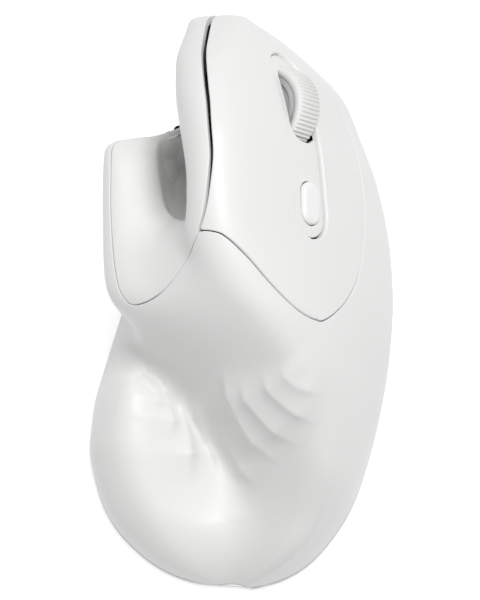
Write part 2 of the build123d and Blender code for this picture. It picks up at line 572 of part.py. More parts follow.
# Main board under the thumb side
main_top = MAIN_BOARD_Z + BOARD_THICK
main_board = box(-17.3, -6.8, -24, 20, MAIN_BOARD_Z, main_top) + box(-7, 12, 17.5, 38, MAIN_BOARD_Z, main_top)
main_board += box(-15, -10, -4, 1, main_top, main_top + 0.9) + box(-14, -9, 6, 10, main_top, main_top + 0.8)
board_posts = ((-15.3, -12), (-9, 13), (9.5, 34.5))
for x, y in board_posts:
    main_board -= post(x, y, 0, 12, 0.8 + SCREW_FIT)
    board_screws.append(post(x, y, BASE_TOP_Z + 0.4, main_top, 0.7) + post(x, y, main_top, main_top + 0.8, 1.4))
main_board -= box(-3, 3, 22.5, 29.5, MAIN_BOARD_Z - 1, main_top + 1)
save("main_board", main_board)
save("board_screws", *board_screws)
save("motion_sensor", box(-5, 5, 20.5, 31.5, main_top, main_top + 2.6))
save("sensor_lens", box(-4, 4, 20, 32, 2.4, MAIN_BOARD_Z) + box(-2.8, 2.8, 22.7, 29.3, 1.1, 2.4))
cable = box(7.2, 7.5, 19, 27, main_top, 40) - slope_box(-60, 20, 0, 60, board_under, board_under + 40)
save("ribbon_cable", cable)

# Power switch
save("power_switch", box(SLIDER_X - 2, SLIDER_X + 2, SLIDER_Y - 4.5, SLIDER_Y + 4.5, 3.05, MAIN_BOARD_Z))
knob_rear = SLIDER_Y - SLIDER_TRAVEL / 2
save("power_slider", box(SLIDER_X - 1.4, SLIDER_X + 1.4, knob_rear - 2, knob_rear + 2, 2.1, 2.95)
     + box(SLIDER_X - 1, SLIDER_X + 1, knob_rear - 1.1, knob_rear + 1.1, 1.0, 2.1))

# Cell and its contacts
cell_z = BASE_TOP_Z + 0.3 + CELL_RADIUS
cell = Pos(CELL_X, CELL_REAR + (CELL_LENGTH - 1) / 2, cell_z) * Rot(90, 0, 0) * Cylinder(CELL_RADIUS, CELL_LENGTH - 1)
cell += Pos(CELL_X, CELL_REAR + CELL_LENGTH - 0.5, cell_z) * Rot(90, 0, 0) * Cylinder(2.6, 1)
save("aa_battery", cell)
front_plate = CELL_REAR + CELL_LENGTH
save("battery_contact", box(CELL_X - 4.5, CELL_X + 4.5, front_plate, front_plate + 0.5, cell_z - 4, cell_z + 4))
coil_path = Helix(1.0, 3.0, 3.6, cone_angle=-12)
coil = sweep(Plane(coil_path @ 0, z_dir=coil_path % 0) * RegularPolygon(0.37, 8), path=coil_path, is_frenet=True)
coil = Pos(CELL_X, CELL_REAR - 3.45, cell_z) * Rot(-90, 0, 0) * coil
plate = box(CELL_X - 4.5, CELL_X + 4.5, CELL_REAR - 3.9, CELL_REAR - 3.4, cell_z - 4, cell_z + 4)
save("battery_spring", coil + plate)
save("usb_receiver", box(-4.3, 1.9, -26, -16, 3.0, 15.5) + box(-3.5, 1.1, -16, -5, 3.4, 15.2))

# Base plate
foot_rear = foot_end(0, REAR_END)
foot_front = foot_end(0, FRONT_END)
edge_ys = [foot_rear + (foot_front - foot_rear) * (1 - math.cos(math.pi * i / 30)) / 2 for i in range(1, 30)]
left_edge = [(foot_edge(y, False), along(y)) for y in edge_ys]
right_edge = [(foot_edge(y, True), along(y)) for y in edge_ys]
rear_tip = ((left_edge[0][0] + right_edge[0][0]) / 2, along(foot_rear) + 0.05)
front_tip = ((left_edge[-1][0] + right_edge[-1][0]) / 2, along(foot_front) - 0.12)
foot = make_face(Spline(rear_tip, *left_edge, front_tip, *right_edge[::-1], periodic=True))
base = extrude(Pos(0, 0, UNDERSIDE_Z) * foot, BASE_TOP_Z - UNDERSIDE_Z)
bay = (BAY_LEFT, BAY_RIGHT, BAY_REAR, BAY_FRONT)
walls = box(bay[0] - BAY_WALL, bay[1] + BAY_WALL, bay[2] - BAY_WALL, bay[3] + BAY_WALL, BASE_TOP_Z, BASE_TOP_Z + 5)
walls -= box(*bay, BASE_TOP_Z - 1, BASE_TOP_Z + 6)
base += walls
base -= box(bay[0] + 0.8, bay[1] - 0.4, bay[2] + 0.6, bay[3] - 0.4, 0, BASE_TOP_Z)
for x, y in board_posts:
    base += post(x, y, BASE_TOP_Z, MAIN_BOARD_Z, 2.0) - post(x, y, BASE_TOP_Z + 0.4, MAIN_BOARD_Z, 0.7)
base -= box(-3.4, 3.4, 22.1, 29.9, 0, 5)
slot_reach = SLIDER_TRAVEL / 2 + 1.1 + 0.2
base -= box(SLIDER_X - 1.2, SLIDER_X + 1.2, SLIDER_Y - slot_reach, SLIDER_Y + slot_reach, 0, 5)


def glide(rear_left, length, width, extra):
    x, y = rear_left
    shape = extrude(SlotOverall(length + 2 * extra, width + 2 * extra), GLIDE_THICK)
    return Pos(x, y, 0) * shape


for name, place, length, width in (("front_glide", (6.5, 47.5), 22, 6), ("rear_glide", (-2.5, -49.8), 30, 6)):
    save(name, glide(place, length, width, 0))
    base -= glide(place, length, width, GLIDE_FIT)

# Screws from the base plate into bosses of the housing
base_screws = []
for x, y, top in BASE_BOSSES:
    housing += post(x, y, BASE_TOP_Z + SEAM_GAP, top, BOSS_RADIUS) & outer_form
    housing -= post(x, y, 0, BASE_TOP_Z + 8, SCREW_RADIUS)
    base -= post(x, y, 0, 5, SCREW_RADIUS + SCREW_FIT) + post(x, y, 0, UNDERSIDE_Z + 0.6, SCREW_HEAD + SCREW_FIT)
    base_screws.append(post(x, y, UNDERSIDE_Z + 0.6, BASE_TOP_Z + 7, SCREW_RADIUS)
                       + post(x, y, UNDERSIDE_Z + 0.05, UNDERSIDE_Z + 0.6, SCREW_HEAD))
save("base_screws", *base_screws)
save("base_plate", base)

# Battery door in the base plate
door = box(bay[0] + 0.8 + DOOR_FIT, bay[1] - 0.4 - DOOR_FIT, bay[2] + 0.6 + DOOR_FIT, bay[3] - 0.4 - DOOR_FIT,
           UNDERSIDE_Z + 0.05, BASE_TOP_Z)
for index in range(5):
    door -= box(4, 13, -30 + 2 * index, -29 + 2 * index, 0, UNDERSIDE_Z + 0.35)
save("battery_door", door)
save("main_shell", housing)

# Side buttons in the thumb panel
half_z = SIDE_BUTTON_HEIGHT / 2
for name, y in (("back_button", BACK_BUTTON_Y), ("forward_button", FORWARD_BUTTON_Y)):
    half = SIDE_BUTTON_LENGTH / 2
    middle = along(y)
    gap = BUTTON_GAP
    key = lining & box(-24, 0, middle - half, middle + half, SIDE_BUTTON_Z - half_z, SIDE_BUTTON_Z + half_z)
    lining -= box(-24, 0, middle - half - gap, middle + half + gap, SIDE_BUTTON_Z - half_z - gap,
                  SIDE_BUTTON_Z + half_z + gap)
    key = max(key.solids(), key=lambda solid: solid.center().X)
    save(name, key.moved(Location((-SIDE_BUTTON_PROUD, 0, 0))))
save("thumb_panel", lining)
side_board = box(-5.1, -4.1, along(BACK_BUTTON_Y) - 5, along(FORWARD_BUTTON_Y) + 4, 29, 38)
save("side_board", side_board)
side_switches = []
for x, y in zip(SIDE_PLUNGER_XS, (BACK_BUTTON_Y, FORWARD_BUTTON_Y)):
    case = box(-6.7, -5.1, along(y) - 2, along(y) + 2, 35, 38)
    side_switches.append(case + box(x, -6.7, along(y) - 0.8, along(y) + 0.8, 36.2, 37.6))
save("side_switches", *side_switches)
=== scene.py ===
"""Looks of the vertical mouse: its moulded shells, wheel, button, screws, finishes, floor and light."""

import json
import logging
import math
from dataclasses import dataclass, field
from enum import Enum
from typing import Any, Callable, Iterable, Sequence

import bpy
import numpy as np
from mathutils import Matrix, Vector


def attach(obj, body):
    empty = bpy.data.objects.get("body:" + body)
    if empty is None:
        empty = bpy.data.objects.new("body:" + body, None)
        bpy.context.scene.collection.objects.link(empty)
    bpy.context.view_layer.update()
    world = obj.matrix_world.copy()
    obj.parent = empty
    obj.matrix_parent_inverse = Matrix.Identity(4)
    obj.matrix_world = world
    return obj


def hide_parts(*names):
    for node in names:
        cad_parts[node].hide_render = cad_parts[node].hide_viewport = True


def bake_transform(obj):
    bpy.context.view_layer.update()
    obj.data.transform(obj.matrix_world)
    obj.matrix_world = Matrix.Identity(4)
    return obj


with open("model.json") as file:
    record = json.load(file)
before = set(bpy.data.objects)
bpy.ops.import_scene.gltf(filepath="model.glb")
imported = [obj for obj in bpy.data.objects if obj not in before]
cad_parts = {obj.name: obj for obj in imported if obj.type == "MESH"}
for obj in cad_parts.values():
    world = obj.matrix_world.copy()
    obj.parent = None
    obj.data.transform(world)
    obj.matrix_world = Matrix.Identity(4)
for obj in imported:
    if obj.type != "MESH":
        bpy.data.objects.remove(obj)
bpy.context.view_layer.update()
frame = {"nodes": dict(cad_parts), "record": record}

LOG = logging.getLogger("vertical_mouse")
MM = 0.001
CENTRE = np.array([0.316, 0.606, 0.0])

SLOPE = math.radians(52.0)
SLOPE_S = np.array([math.cos(SLOPE), 0.0, -math.sin(SLOPE)])
SLOPE_H = np.array([math.sin(SLOPE), 0.0, math.cos(SLOPE)])
RIDGE_P = np.array([0.9165, 0.0, 0.40])
VIEW_UP = np.array([0.0, 0.970, 0.242])

BASE_JOINT_Z = 2.0
WALL = 1.6
FRONT_Y = 60.99
# Stands for a place far outside an outline
OUTSIDE = -30.0
# Rows of points that close a patch at the nose
NOSE_ROWS = [60.5, 60.7, 60.85, 60.93, FRONT_Y]


class Slot(Enum):
    """Material slots of the record."""

    SHELL = "shell_white"
    BUTTON = "button_white"
    TYRE = "tyre_white"
    HUB = "hub_grey"
    FRAME = "frame_black"
    STEEL = "steel"
    BOARD = "board_green"
    CHIP = "chip_black"
    SWITCH = "switch_case"
    PLUNGER = "plunger_red"
    LENS = "lens_clear"
    CELL = "cell_jacket"
    GLIDE = "glide_white"
    CABLE = "cable_grey"
    RECEIVER = "receiver_black"


class Side(Enum):
    """Which side of the split between the two keys a cover piece lies on."""

    LEFT = -1
    RIGHT = 1


# Control lines of the form, each from the rear to the front as (y, x, z), in millimetres
LINES: dict[str, list[tuple[float, float, float]]] = {
    "skirt_l": [(-52, -27.6, -9), (-43, -29.6, -9), (-30, -32.4, -9), (-18, -31.4, -9), (-7, -28.4, -9),
                (5, -25, -9), (18, -21, -9), (25, -16.5, -9), (31, -12, -9), (37, -10, -9), (55, -10, -9)],
    "base_l": [(-52, -27.6, 1), (-43, -29.6, 1), (-30, -32.9, 1), (-18, -31.9, 1), (-7, -28.9, 1),
               (5, -25, 1), (18, -21, 1), (25, -16.5, 1), (31, -12, 1), (37, -10, 1), (55, -10, 1)],
    "flank_l": [(-52, -26.8, 9), (-43, -29.6, 10), (-30, -33.4, 11), (-18, -31.4, 11), (-8, -27.4, 11),
                (0, -24.9, 10), (10, -23.5, 9), (18, -21, 7.5), (25, -17, 6.5), (31, -13, 5),
                (36, -11.5, 3), (38.6, -11.5, 1.6), (41, -10, 7), (55, -10, 11)],
    "lobe": [(-52, -21.2, 15), (-43, -23.6, 16.5), (-32, -27.9, 19.5), (-22, -27.4, 20.5), (-14, -23.9, 20),
             (-8, -22.9, 19), (0, -21.9, 18), (10, -22.5, 16.5), (22, -21, 15), (28, -18.5, 13),
             (31, -16, 10), (35, -12.5, 6), (38.6, -12, 2.2), (40, -10.3, 6), (42, -10, 14), (55, -10, 20)],
    "under": [(-50, -13, 14.5), (-43, -17, 15.5), (-32, -20, 19), (-22, -21, 20.5), (-16, -20.5, 21),
              (-12, -20, 22.5), (-9, -21, 24.5), (-5, -24, 25.5), (0, -26, 25.5), (10, -27, 24),
              (22, -27, 22.5), (29, -26, 21.5), (34, -25, 21), (36.8, -21, 19), (38.6, -12.2, 2.8),
              (39.5, -10.7, 5), (42, -10, 21), (55, -9.5, 27)],
    "rim": [(-50, -7, 13.5), (-43, -10, 13), (-32, -12, 15), (-22, -14.5, 19), (-16, -16, 24),
            (-12.5, -18, 29), (-9.5, -22, 33), (-6, -27.8, 34.5), (-2, -30.2, 34), (4, -30.8, 32.5),
            (12, -30.9, 30.5), (28, -31.2, 28.5), (34, -30.8, 27.5), (36.8, -29, 23.5), (38.4, -12, 3),
            (39.5, -10.5, 8), (42, -10, 25), (48, -9.5, 32), (55, -9, 29.5)],
    "crest": [(-50, -1, 13), (-43, -3, 12), (-32, -4.5, 12.5), (-22, -8.5, 20), (-16, -12.5, 29.5),
              (-12.5, -16, 37), (-9.5, -20.5, 40.5), (-6, -24.7, 41), (-2, -27.5, 40), (4, -28.2, 38),
              (12, -28.2, 36), (28, -28, 33.5), (34, -28, 32.3), (36.8, -26, 27), (38.4, -11.6, 4),
              (39.5, -10.3, 12), (42, -9.8, 29), (48, -9, 36), (55, -9, 32.5)],
    "inner": [(-50, 5, 16), (-43, 2.5, 15), (-32, 0.5, 18.5), (-22, -4.5, 29), (-16, -9, 38.5),
              (-12.5, -12.5, 43.5), (-9.5, -16, 46), (-6, -19, 46), (-2, -20.5, 43.5), (4, -21, 40),
              (12, -20.5, 36), (28, -18.5, 31.5), (32, -18, 29.5), (34.5, -17, 22), (37, -14, 10),
              (38.6, -11.2, 5), (39.5, -10, 20), (42, -9.5, 34), (48, -9, 40), (55, -9, 35)],
    "floor": [(-50, 9, 20), (-43, 6.5, 20.5), (-32, 4, 26.5), (-22, 0, 37), (-16, -5, 44.5),
              (-12.5, -8.5, 48.5), (-9.5, -12, 50.5), (-6, -14, 51), (-2, -15, 49.5), (3, -16, 46.5),
              (8, -16.5, 42), (13, -16, 35), (17, -14.5, 26), (21, -13, 18), (27, -14, 9), (33, -13.5, 7),
              (37, -12.5, 6), (38.6, -10.7, 7), (40, -9.3, 33), (48, -9.5, 43), (55, -9, 37.5)],
    "wall": [(-50, 12.5, 23.5), (-43, 10.5, 25.5), (-32, 7.5, 32), (-22, 4, 43), (-16, -0.5, 49.5),
             (-12.5, -4.5, 52.5), (-9.5, -8, 54), (-6, -9.5, 55.5), (-2, -10.8, 55.5), (3, -12, 52),
             (8, -12, 50), (13, -9.5, 46), (18, -7.5, 41), (22, -7, 36), (28, -8, 31), (34, -8.5, 30),
             (37, -8.5, 33), (41, -7.5, 42.5), (48, -9.5, 46), (55, -11, 40)],
    "over": [(-50, 15, 25.5), (-43, 13, 29), (-32, 11, 37), (-22, 7.5, 47), (-16, 3, 53),
             (-12.5, -0.5, 55.5), (-9.5, -4, 57), (-6, -6.5, 58.5), (-2, -8.8, 59.2), (1.5, -10.3, 58.5),
             (6, -12.8, 57), (12, -12.2, 55), (20, -12.2, 54.3), (28, -13.7, 53.5), (38, -15.3, 52),
             (47, -15, 49.5), (55, -11.7, 44)],
    "ridge_l": [(-50, 17.5, 26), (-43, 16, 31.5), (-32, 14.5, 40), (-22, 11, 49.5), (-16, 7, 55.5),
                (-9.5, 1, 60.5), (-2, -5, 63), (4, -9.2, 64), (12, -11, 64.5), (28, -12, 64),
                (38, -13.2, 61.5), (47, -13.4, 57.5), (55, -11, 50)],
    "ridge_r": [(-50, 20, 25.5), (-43, 19.5, 32), (-32, 18.5, 40), (-22, 16, 49), (-12, 11, 57),
                (-2, 3.5, 62.5), (6, -1, 65.5), (14, -2.5, 67), (28, -3, 67), (38, -3.5, 64.5),
                (47, -3, 60.5), (55, 1.5, 52)],
    "panel_u": [(-50, 20.5, 23), (-43, 21.1, 29.5), (-32, 21.6, 36.5), (-22, 20.6, 44), (-12, 18, 50),
                (-2, 13.5, 54), (6, 10.5, 56), (14, 9, 57), (28, 8, 57), (38, 6.5, 55), (50, 4.5, 50),
                (60, 2, 44)],
    "panel_l": [(-50, 20.9, 19), (-43, 22.4, 24.5), (-32, 24.6, 29), (-22, 25.5, 33.5), (-12, 25.3, 37),
                (-2, 24, 39.5), (6, 22, 41), (14, 21, 42), (28, 19, 42.5), (38, 16, 42.5), (46, 13.5, 42),
                (55, 7, 40.5), (60, 4, 37)],
    "shoulder": [(-50, 21.8, 14), (-43, 23.8, 18), (-32, 27.1, 20), (-22, 28.9, 22), (-12, 30, 24),
                 (-2, 30.5, 25.5), (6, 30, 26.5), (14, 29.2, 27.5), (28, 26.3, 29), (38, 22.3, 30.5),
                 (46, 20, 31), (50, 15.7, 31), (55, 10.5, 31), (60, 6, 28)],
    "flank_r": [(-50, 22.2, 9), (-43, 24.2, 10), (-32, 28.2, 11), (-22, 31, 12), (-12, 32.9, 13),
                (-2, 34, 13.5), (6, 34, 14), (14, 33.6, 15), (28, 30.9, 17), (38, 27, 18), (46, 23.8, 19),
                (50.5, 18.3, 19), (55, 13.7, 19), (60, 9, 17)],
    "base_r": [(-50, 22.2, 1), (-43, 24.2, 1), (-32, 27.8, 1), (-22, 30.2, 1), (-12, 32, 1), (3, 33, 1),
               (20, 31.5, 1), (36, 26, 1), (46, 22, 1), (55, 14.5, 1), (60, 9.5, 1)],
    "skirt_r": [(-50, 22.2, -9), (-43, 24.2, -9), (-32, 27.8, -9), (-22, 30.2, -9), (-12, 32, -9),
                (3, 33, -9), (20, 31.5, -9), (36, 26, -9), (46, 22, -9), (55, 14.5, -9), (60, 9.5, -9)],
}

# Seams: the thumb panel in plan (x, y), the ridge as (p, y), the key cover on the slope (s, y)
THUMB_SEAM = [(-28.6, 64), (-28.5, 26.6), (-28.5, 19.5), (-27.9, 7.6), (-26.8, -1.0), (-25.1, -4.7),
              (-22.9, -6.2), (-19.6, -5.9), (-16.3, -4.1), (-13.1, -0.8), (-10.9, 1.8), (-9.2, 4.7)]
RIDGE_SEAM = [(16.1, -30), (16.1, 4.7), (18.2, 9.0), (19.4, 13.9), (20.2, 22.8), (18.8, 34.4), (16.4, 44.4),
              (13.8, 54.0), (13.0, 57.5), (11.5, 64.0)]
COVER_SEAM = [(-54.0, 4.7), (-52.9, 4.1), (-48.4, 0.0), (-42.6, -5.5), (-36.2, -10.0), (-31.0, -11.6),
              (-26.5, -11.3), (-18.1, -5.9), (-11.6, 1.2), (-9.2, 6.3), (-7.3, 13.3), (-6.0, 19.0),
              (-5.9, 24.0), (-6.1, 31.2), (-6.3, 35.0), (-8.0, 39.3), (-10.6, 42.9), (-13.7, 46.8),
              (-16.0, 50.5), (-17.5, 56.0), (-18.0, 66.0)]


def smooth_line(points: Sequence[tuple[float, float]], steps: int = 8) -> np.ndarray:
    """Draws a smooth line through points.

    Args:
        points: The points in order.
        steps: Pieces per span.

    Returns:
        Points along the line, one per row.
    """
    p = np.array(points, float)
    ring = np.vstack([2 * p[0] - p[1], p, 2 * p[-1] - p[-2]])
    out = []
    for a, b, c, d in zip(ring, ring[1:], ring[2:], ring[3:]):
        reach = min(np.linalg.norm(c - b), 8.0)
        m0 = (c - a) / np.linalg.norm(c - a) * reach
        m1 = (d - b) / np.linalg.norm(d - b) * reach
        for k in range(steps):
            t = k / steps
            out.append((2 * t**3 - 3 * t**2 + 1) * b + (t**3 - 2 * t**2 + t) * m0
                       + (3 * t**2 - 2 * t**3) * c + (t**3 - t**2) * m1)
    out.append(p[-1])
    return np.array(out)


def side_of_line(places: np.ndarray, line: np.ndarray, far: float = 80.0) -> tuple[np.ndarray, np.ndarray]:
    """Measures how far places lie to the left of an open line.

    Args:
        places: Points, one per row.
        line: The line's points in order.
        far: How far the line is carried on past its two ends.

    Returns:
        The signed distances, and each nearest point's place along the line, 0 to 1.
    """
    first = line[0] + (line[0] - line[1]) / np.linalg.norm(line[0] - line[1]) * far
    last = line[-1] + (line[-1] - line[-2]) / np.linalg.norm(line[-1] - line[-2]) * far
    whole = np.vstack([first, line, last]) if far else line
    best = np.full(len(places), np.inf)
    signed = np.zeros(len(places))
    share = np.zeros(len(places))
    walked = np.concatenate([[0.0], np.cumsum(np.linalg.norm(np.diff(whole, axis=0), axis=1))])
    for k, (a, b) in enumerate(zip(whole, whole[1:])):
        d = b - a
        length = np.linalg.norm(d)
        t = np.clip((places - a) @ d / length**2, 0, 1)
        off = places - a - t[:, None] * d
        gap = np.hypot(off[:, 0], off[:, 1])
        turn = np.sign(d[0] * off[:, 1] - d[1] * off[:, 0])
        near = gap < best - 1e-9
        best[near] = gap[near]
        signed[near] = (gap * np.where(turn == 0, 1, turn))[near]
        share[near] = ((walked[k] + t * length) / walked[-1])[near]
    return signed, share


def inside_stadium(places: np.ndarray, rear: np.ndarray, front: np.ndarray, width: float) -> np.ndarray:
    """Signed distance of places inside a long rounded outline.

    Args:
        places: Points, one per row.
        rear: Centre of the rear end's arc.
        front: Centre of the front end's arc.
        width: Width of the outline.

    Returns:
        Distances, positive inside.
    """
    d = front - rear
    t = np.clip((places - rear) @ d / (d @ d), 0, 1)
    off = places - rear - t[:, None] * d
    return width / 2 - np.hypot(off[:, 0], off[:, 1])


def inside_box(places: np.ndarray, centre: Sequence[float], half: Sequence[float], corner: float) -> np.ndarray:
    """Signed distance of places inside a rectangle with round corners.

    Args:
        places: Points, one per row.
        centre: Middle of the rectangle.
        half: Half its width and length.
        corner: Radius of the corners.

    Returns:
        Distances, positive inside.
    """
    q = np.abs(places - np.array(centre)) - np.array(half) + corner
    outer = np.hypot(np.maximum(q[:, 0], 0), np.maximum(q[:, 1], 0))
    return corner - outer - np.minimum(np.maximum(q[:, 0], q[:, 1]), 0)


def rows_unit(v: np.ndarray) -> np.ndarray:
    """Each row of v at length one."""
    return v / np.maximum(np.linalg.norm(v, axis=1, keepdims=True), 1e-12)


@dataclass
class Patch:
    """A grid of points on a surface, in millimetres, with its outward directions."""

    points: np.ndarray
    rows: int
    columns: int
    spans: np.ndarray
    normals: np.ndarray = field(init=False)

    def __post_init__(self) -> None:
        """Works out the outward directions."""
        self.refresh()

    def refresh(self) -> None:
        """Works out the tangents and the outward directions again, after the points have moved."""
        grid = self.points.reshape(self.rows, self.columns, 3)
        self._along = np.gradient(grid, axis=0).reshape(-1, 3)
        self._across = np.gradient(grid, axis=1).reshape(-1, 3)
        self.normals = rows_unit(np.cross(self._across, self._along))

    def steepest(self, values: np.ndarray) -> np.ndarray:
        """How a value changes along the surface, per millimetre, as a vector at each point."""
        grid = values.reshape(self.rows, self.columns)
        da = np.gradient(grid, axis=0).ravel()
        dc = np.gradient(grid, axis=1).ravel()
        aa = (self._along**2).sum(1)
        cc = (self._across**2).sum(1)
        ac = (self._along * self._across).sum(1)
        det = np.maximum(aa * cc - ac**2, 1e-9)
        along = (cc * da - ac * dc) / det
        across = (aa * dc - ac * da) / det
        return along[:, None] * self._along + across[:, None] * self._across

    def on_surface(self, values: np.ndarray) -> np.ndarray:
        """A projected distance as a distance along the surface."""
        return values / np.clip(np.linalg.norm(self.steepest(values), axis=1), 0.35, 3.0)

    def triangles(self) -> np.ndarray:
        """Corner numbers of the grid's triangles, facing outwards."""
        index = np.arange(self.rows * self.columns).reshape(self.rows, self.columns)
        a, b = index[:-1, :-1].ravel(), index[:-1, 1:].ravel()
        c, d = index[1:, 1:].ravel(), index[1:, :-1].ravel()
        return np.vstack([np.column_stack([a, b, c]), np.column_stack([a, c, d])])

    def moved(self, shift: np.ndarray) -> "Patch":
        """A copy of the patch moved by shift."""
        return Patch(self.points + shift, self.rows, self.columns, self.spans)

    def slope_places(self) -> np.ndarray:
        """Each point's place down and along the right slope."""
        return np.column_stack([self.points @ SLOPE_S, self.points[:, 1]])


@dataclass
class MouseForm:
    """The outer form: a B-spline surface through the control lines."""

    rear_end: float = -60.0
    front_end: float = 61.0
    rear_start: float = -38.0
    front_start: float = 49.0
    smoothing: float = 2.2
    skirt_z: float = -9.0
    rear_x: float = -0.8
    front_x: float = -3.0
    rear_power: float = 0.6

    def controls(self, y: np.ndarray) -> np.ndarray:
        """Control polygons of the sections at y, as an array of (section, line, x and z)."""
        result = np.zeros((len(y), len(LINES), 2))
        steps = np.arange(-5, 6) * self.smoothing / 2
        weights = np.exp(-0.5 * (steps / self.smoothing) ** 2)
        weights /= weights.sum()
        for n, line in enumerate(LINES.values()):
            p = np.array(line, float)
            for axis in (0, 1):
                for step, weight in zip(steps, weights):
                    result[:, n, axis] += weight * np.interp(y + step, p[:, 0], p[:, axis + 1])
        result[:, 0, 1] = self.skirt_z
        result[:, -1, 1] = self.skirt_z
        rear = np.clip((self.rear_start - y) / (self.rear_start - self.rear_end), 0, 1)
        front = np.clip((y - self.front_start) / (self.front_end - self.front_start), 0, 1)
        close_rear = np.sqrt(1 - rear**2.2)[:, None]
        close_front = ((1 - front**5) ** (1 / 3))[:, None]
        for x, close in ((self.rear_x, close_rear), (self.front_x, close_front)):
            result[:, :, 0] = x + (result[:, :, 0] - x) * close
        result[:, :, 1] = self.skirt_z + (result[:, :, 1] - self.skirt_z) * close_rear**self.rear_power * close_front
        return result

    def patch(self, spans: np.ndarray, y: np.ndarray) -> Patch:
        """Points of the surface on a grid.

        Args:
            spans: Places across the section, one unit per control line.
            y: Places along the mouse, in millimetres.

        Returns:
            The grid as a patch.
        """
        polygon = self.controls(y)
        first = 2 * polygon[:, :1] - polygon[:, 1:2]
        last = 2 * polygon[:, -1:] - polygon[:, -2:-1]
        ring = np.concatenate([first, polygon, last], axis=1)
        index = np.minimum(spans.astype(int), len(LINES) - 2)
        t = spans - index
        weights = ((1 - t) ** 3 / 6, (3 * t**3 - 6 * t**2 + 4) / 6, (-3 * t**3 + 3 * t**2 + 3 * t + 1) / 6, t**3 / 6)
        flat = sum(w[None, :, None] * ring[:, index + k] for k, w in enumerate(weights))
        points = np.zeros((len(y), len(spans), 3))
        points[:, :, 0] = flat[:, :, 0]
        points[:, :, 1] = y[:, None]
        points[:, :, 2] = flat[:, :, 1]
        return Patch(points.reshape(-1, 3), len(y), len(spans), np.tile(spans, len(y)))

    def slope_height(self, s: float, y: float) -> float:
        """Height of the surface over the right slope at one place."""
        line = self.patch(np.linspace(11, 16, 400), np.array([y, y + 0.01]))
        places = line.points[:400]
        near = np.argmin(np.abs(places @ SLOPE_S - s))
        return float(places[near] @ SLOPE_H)


@dataclass
class Border:
    """One edge of a moulded piece: distance inside it, the gap kept to it, and its edge radius."""

    inside: np.ndarray
    gap: float | np.ndarray
    radius: float | np.ndarray


@dataclass
class Loop:
    """A closed edge of a trimmed surface, with the piece on the left."""

    members: list[int]


@dataclass
class Trimmed:
    """A surface cut to a piece's outline."""

    points: np.ndarray
    normals: np.ndarray
    radii: np.ndarray
    faces: np.ndarray
    loops: list[Loop]


class Trimmer:
    """Cuts a patch to the outline that a piece's borders give."""

    def __init__(self, patch: Patch, borders: Sequence[Border]) -> None:
        """Works out each point's distance inside the nearest border, and the way out of the piece."""
        self.patch = patch
        values = np.array([b.inside - b.gap - b.radius for b in borders])
        radii = np.array([np.broadcast_to(b.radius, b.inside.shape) for b in borders])
        ways = np.array([rows_unit(patch.steepest(b.inside)) for b in borders])
        nearest = values.argmin(0)
        pick = np.arange(values.shape[1])
        self.value = values[nearest, pick]
        self.radius = radii[nearest, pick]
        self.way = ways[nearest, pick]

    def cut(self) -> Trimmed:
        """Trims the patch.

        Returns:
            The largest connected part inside every border.
        """
        points, value = self.patch.points.copy(), self.value.copy()
        close = np.abs(value) < 0.09
        points[close] -= self.way[close] * value[close, None]
        value[close] = 0.0
        triangles = self.patch.triangles()
        state = np.sign(value)[triangles]
        whole = triangles[(state.min(1) >= 0) & (state.max(1) > 0)]
        mixed = triangles[(state.min(1) < 0) & (state.max(1) > 0)]
        extra: dict[tuple[int, int], int] = {}
        pairs: list[tuple[int, int, float]] = []
        faces: list[tuple[int, int, int]] = []
        count = len(points)
        for corners in mixed.tolist():
            outline: list[int] = []
            for a, b in zip(corners, corners[1:] + corners[:1]):
                if value[a] >= 0:
                    outline.append(a)
                if value[a] * value[b] < 0:
                    key = (min(a, b), max(a, b))
                    if key not in extra:
                        extra[key] = count + len(pairs)
                        pairs.append((*key, value[key[0]] / (value[key[0]] - value[key[1]])))
                    outline.append(extra[key])
            faces += [(outline[0], outline[k], outline[k + 1]) for k in range(1, len(outline) - 1)]
        low = np.array([p[0] for p in pairs], int)
        high = np.array([p[1] for p in pairs], int)
        part = np.array([p[2] for p in pairs])[:, None]
        normals = self.patch.normals
        points = np.vstack([points, points[low] * (1 - part) + points[high] * part])
        normals = np.vstack([normals, rows_unit(normals[low] * (1 - part) + normals[high] * part)])
        radii = np.concatenate([self.radius, self.radius[low] * (1 - part[:, 0]) + self.radius[high] * part[:, 0]])
        every = self.largest(np.vstack([whole, np.array(faces, int).reshape(-1, 3)]), len(points))
        used, numbered = np.unique(every, return_inverse=True)
        every = numbered.reshape(-1, 3)
        return Trimmed(points[used], normals[used], radii[used], every, self.edges(every))

    @staticmethod
    def largest(faces: np.ndarray, count: int) -> np.ndarray:
        """The faces of the largest connected part."""
        label = np.arange(count)
        while True:
            low = label[faces].min(1)
            before = label.copy()
            for corner in range(3):
                np.minimum.at(label, faces[:, corner], low)
            label = label[label]
            if (label == before).all():
                break
        names, sizes = np.unique(label[faces[:, 0]], return_counts=True)
        return faces[label[faces[:, 0]] == names[sizes.argmax()]]

    @staticmethod
    def edges(faces: np.ndarray) -> list[Loop]:
        """The closed edges of a trimmed surface, in order."""
        pairs = np.vstack([faces[:, [0, 1]], faces[:, [1, 2]], faces[:, [2, 0]]])
        known = set(map(tuple, pairs.tolist()))
        following: dict[int, list[int]] = {}
        for a, b in known:
            if (b, a) not in known:
                following.setdefault(a, []).append(b)
        loops = []
        while following:
            start = next(iter(following))
            members = [start]
            at = start
            while True:
                ways = following[at]
                ahead = ways.pop()
                if not ways:
                    del following[at]
                if ahead == start:
                    break
                members.append(ahead)
                at = ahead
            loops.append(Loop(members))
        return loops


def round_mean(values: np.ndarray, times: int) -> np.ndarray:
    """Evens out the rows of a closed loop."""
    for _ in range(times):
        values = (np.roll(values, 1, 0) + 2 * values + np.roll(values, -1, 0)) / 4
    return values


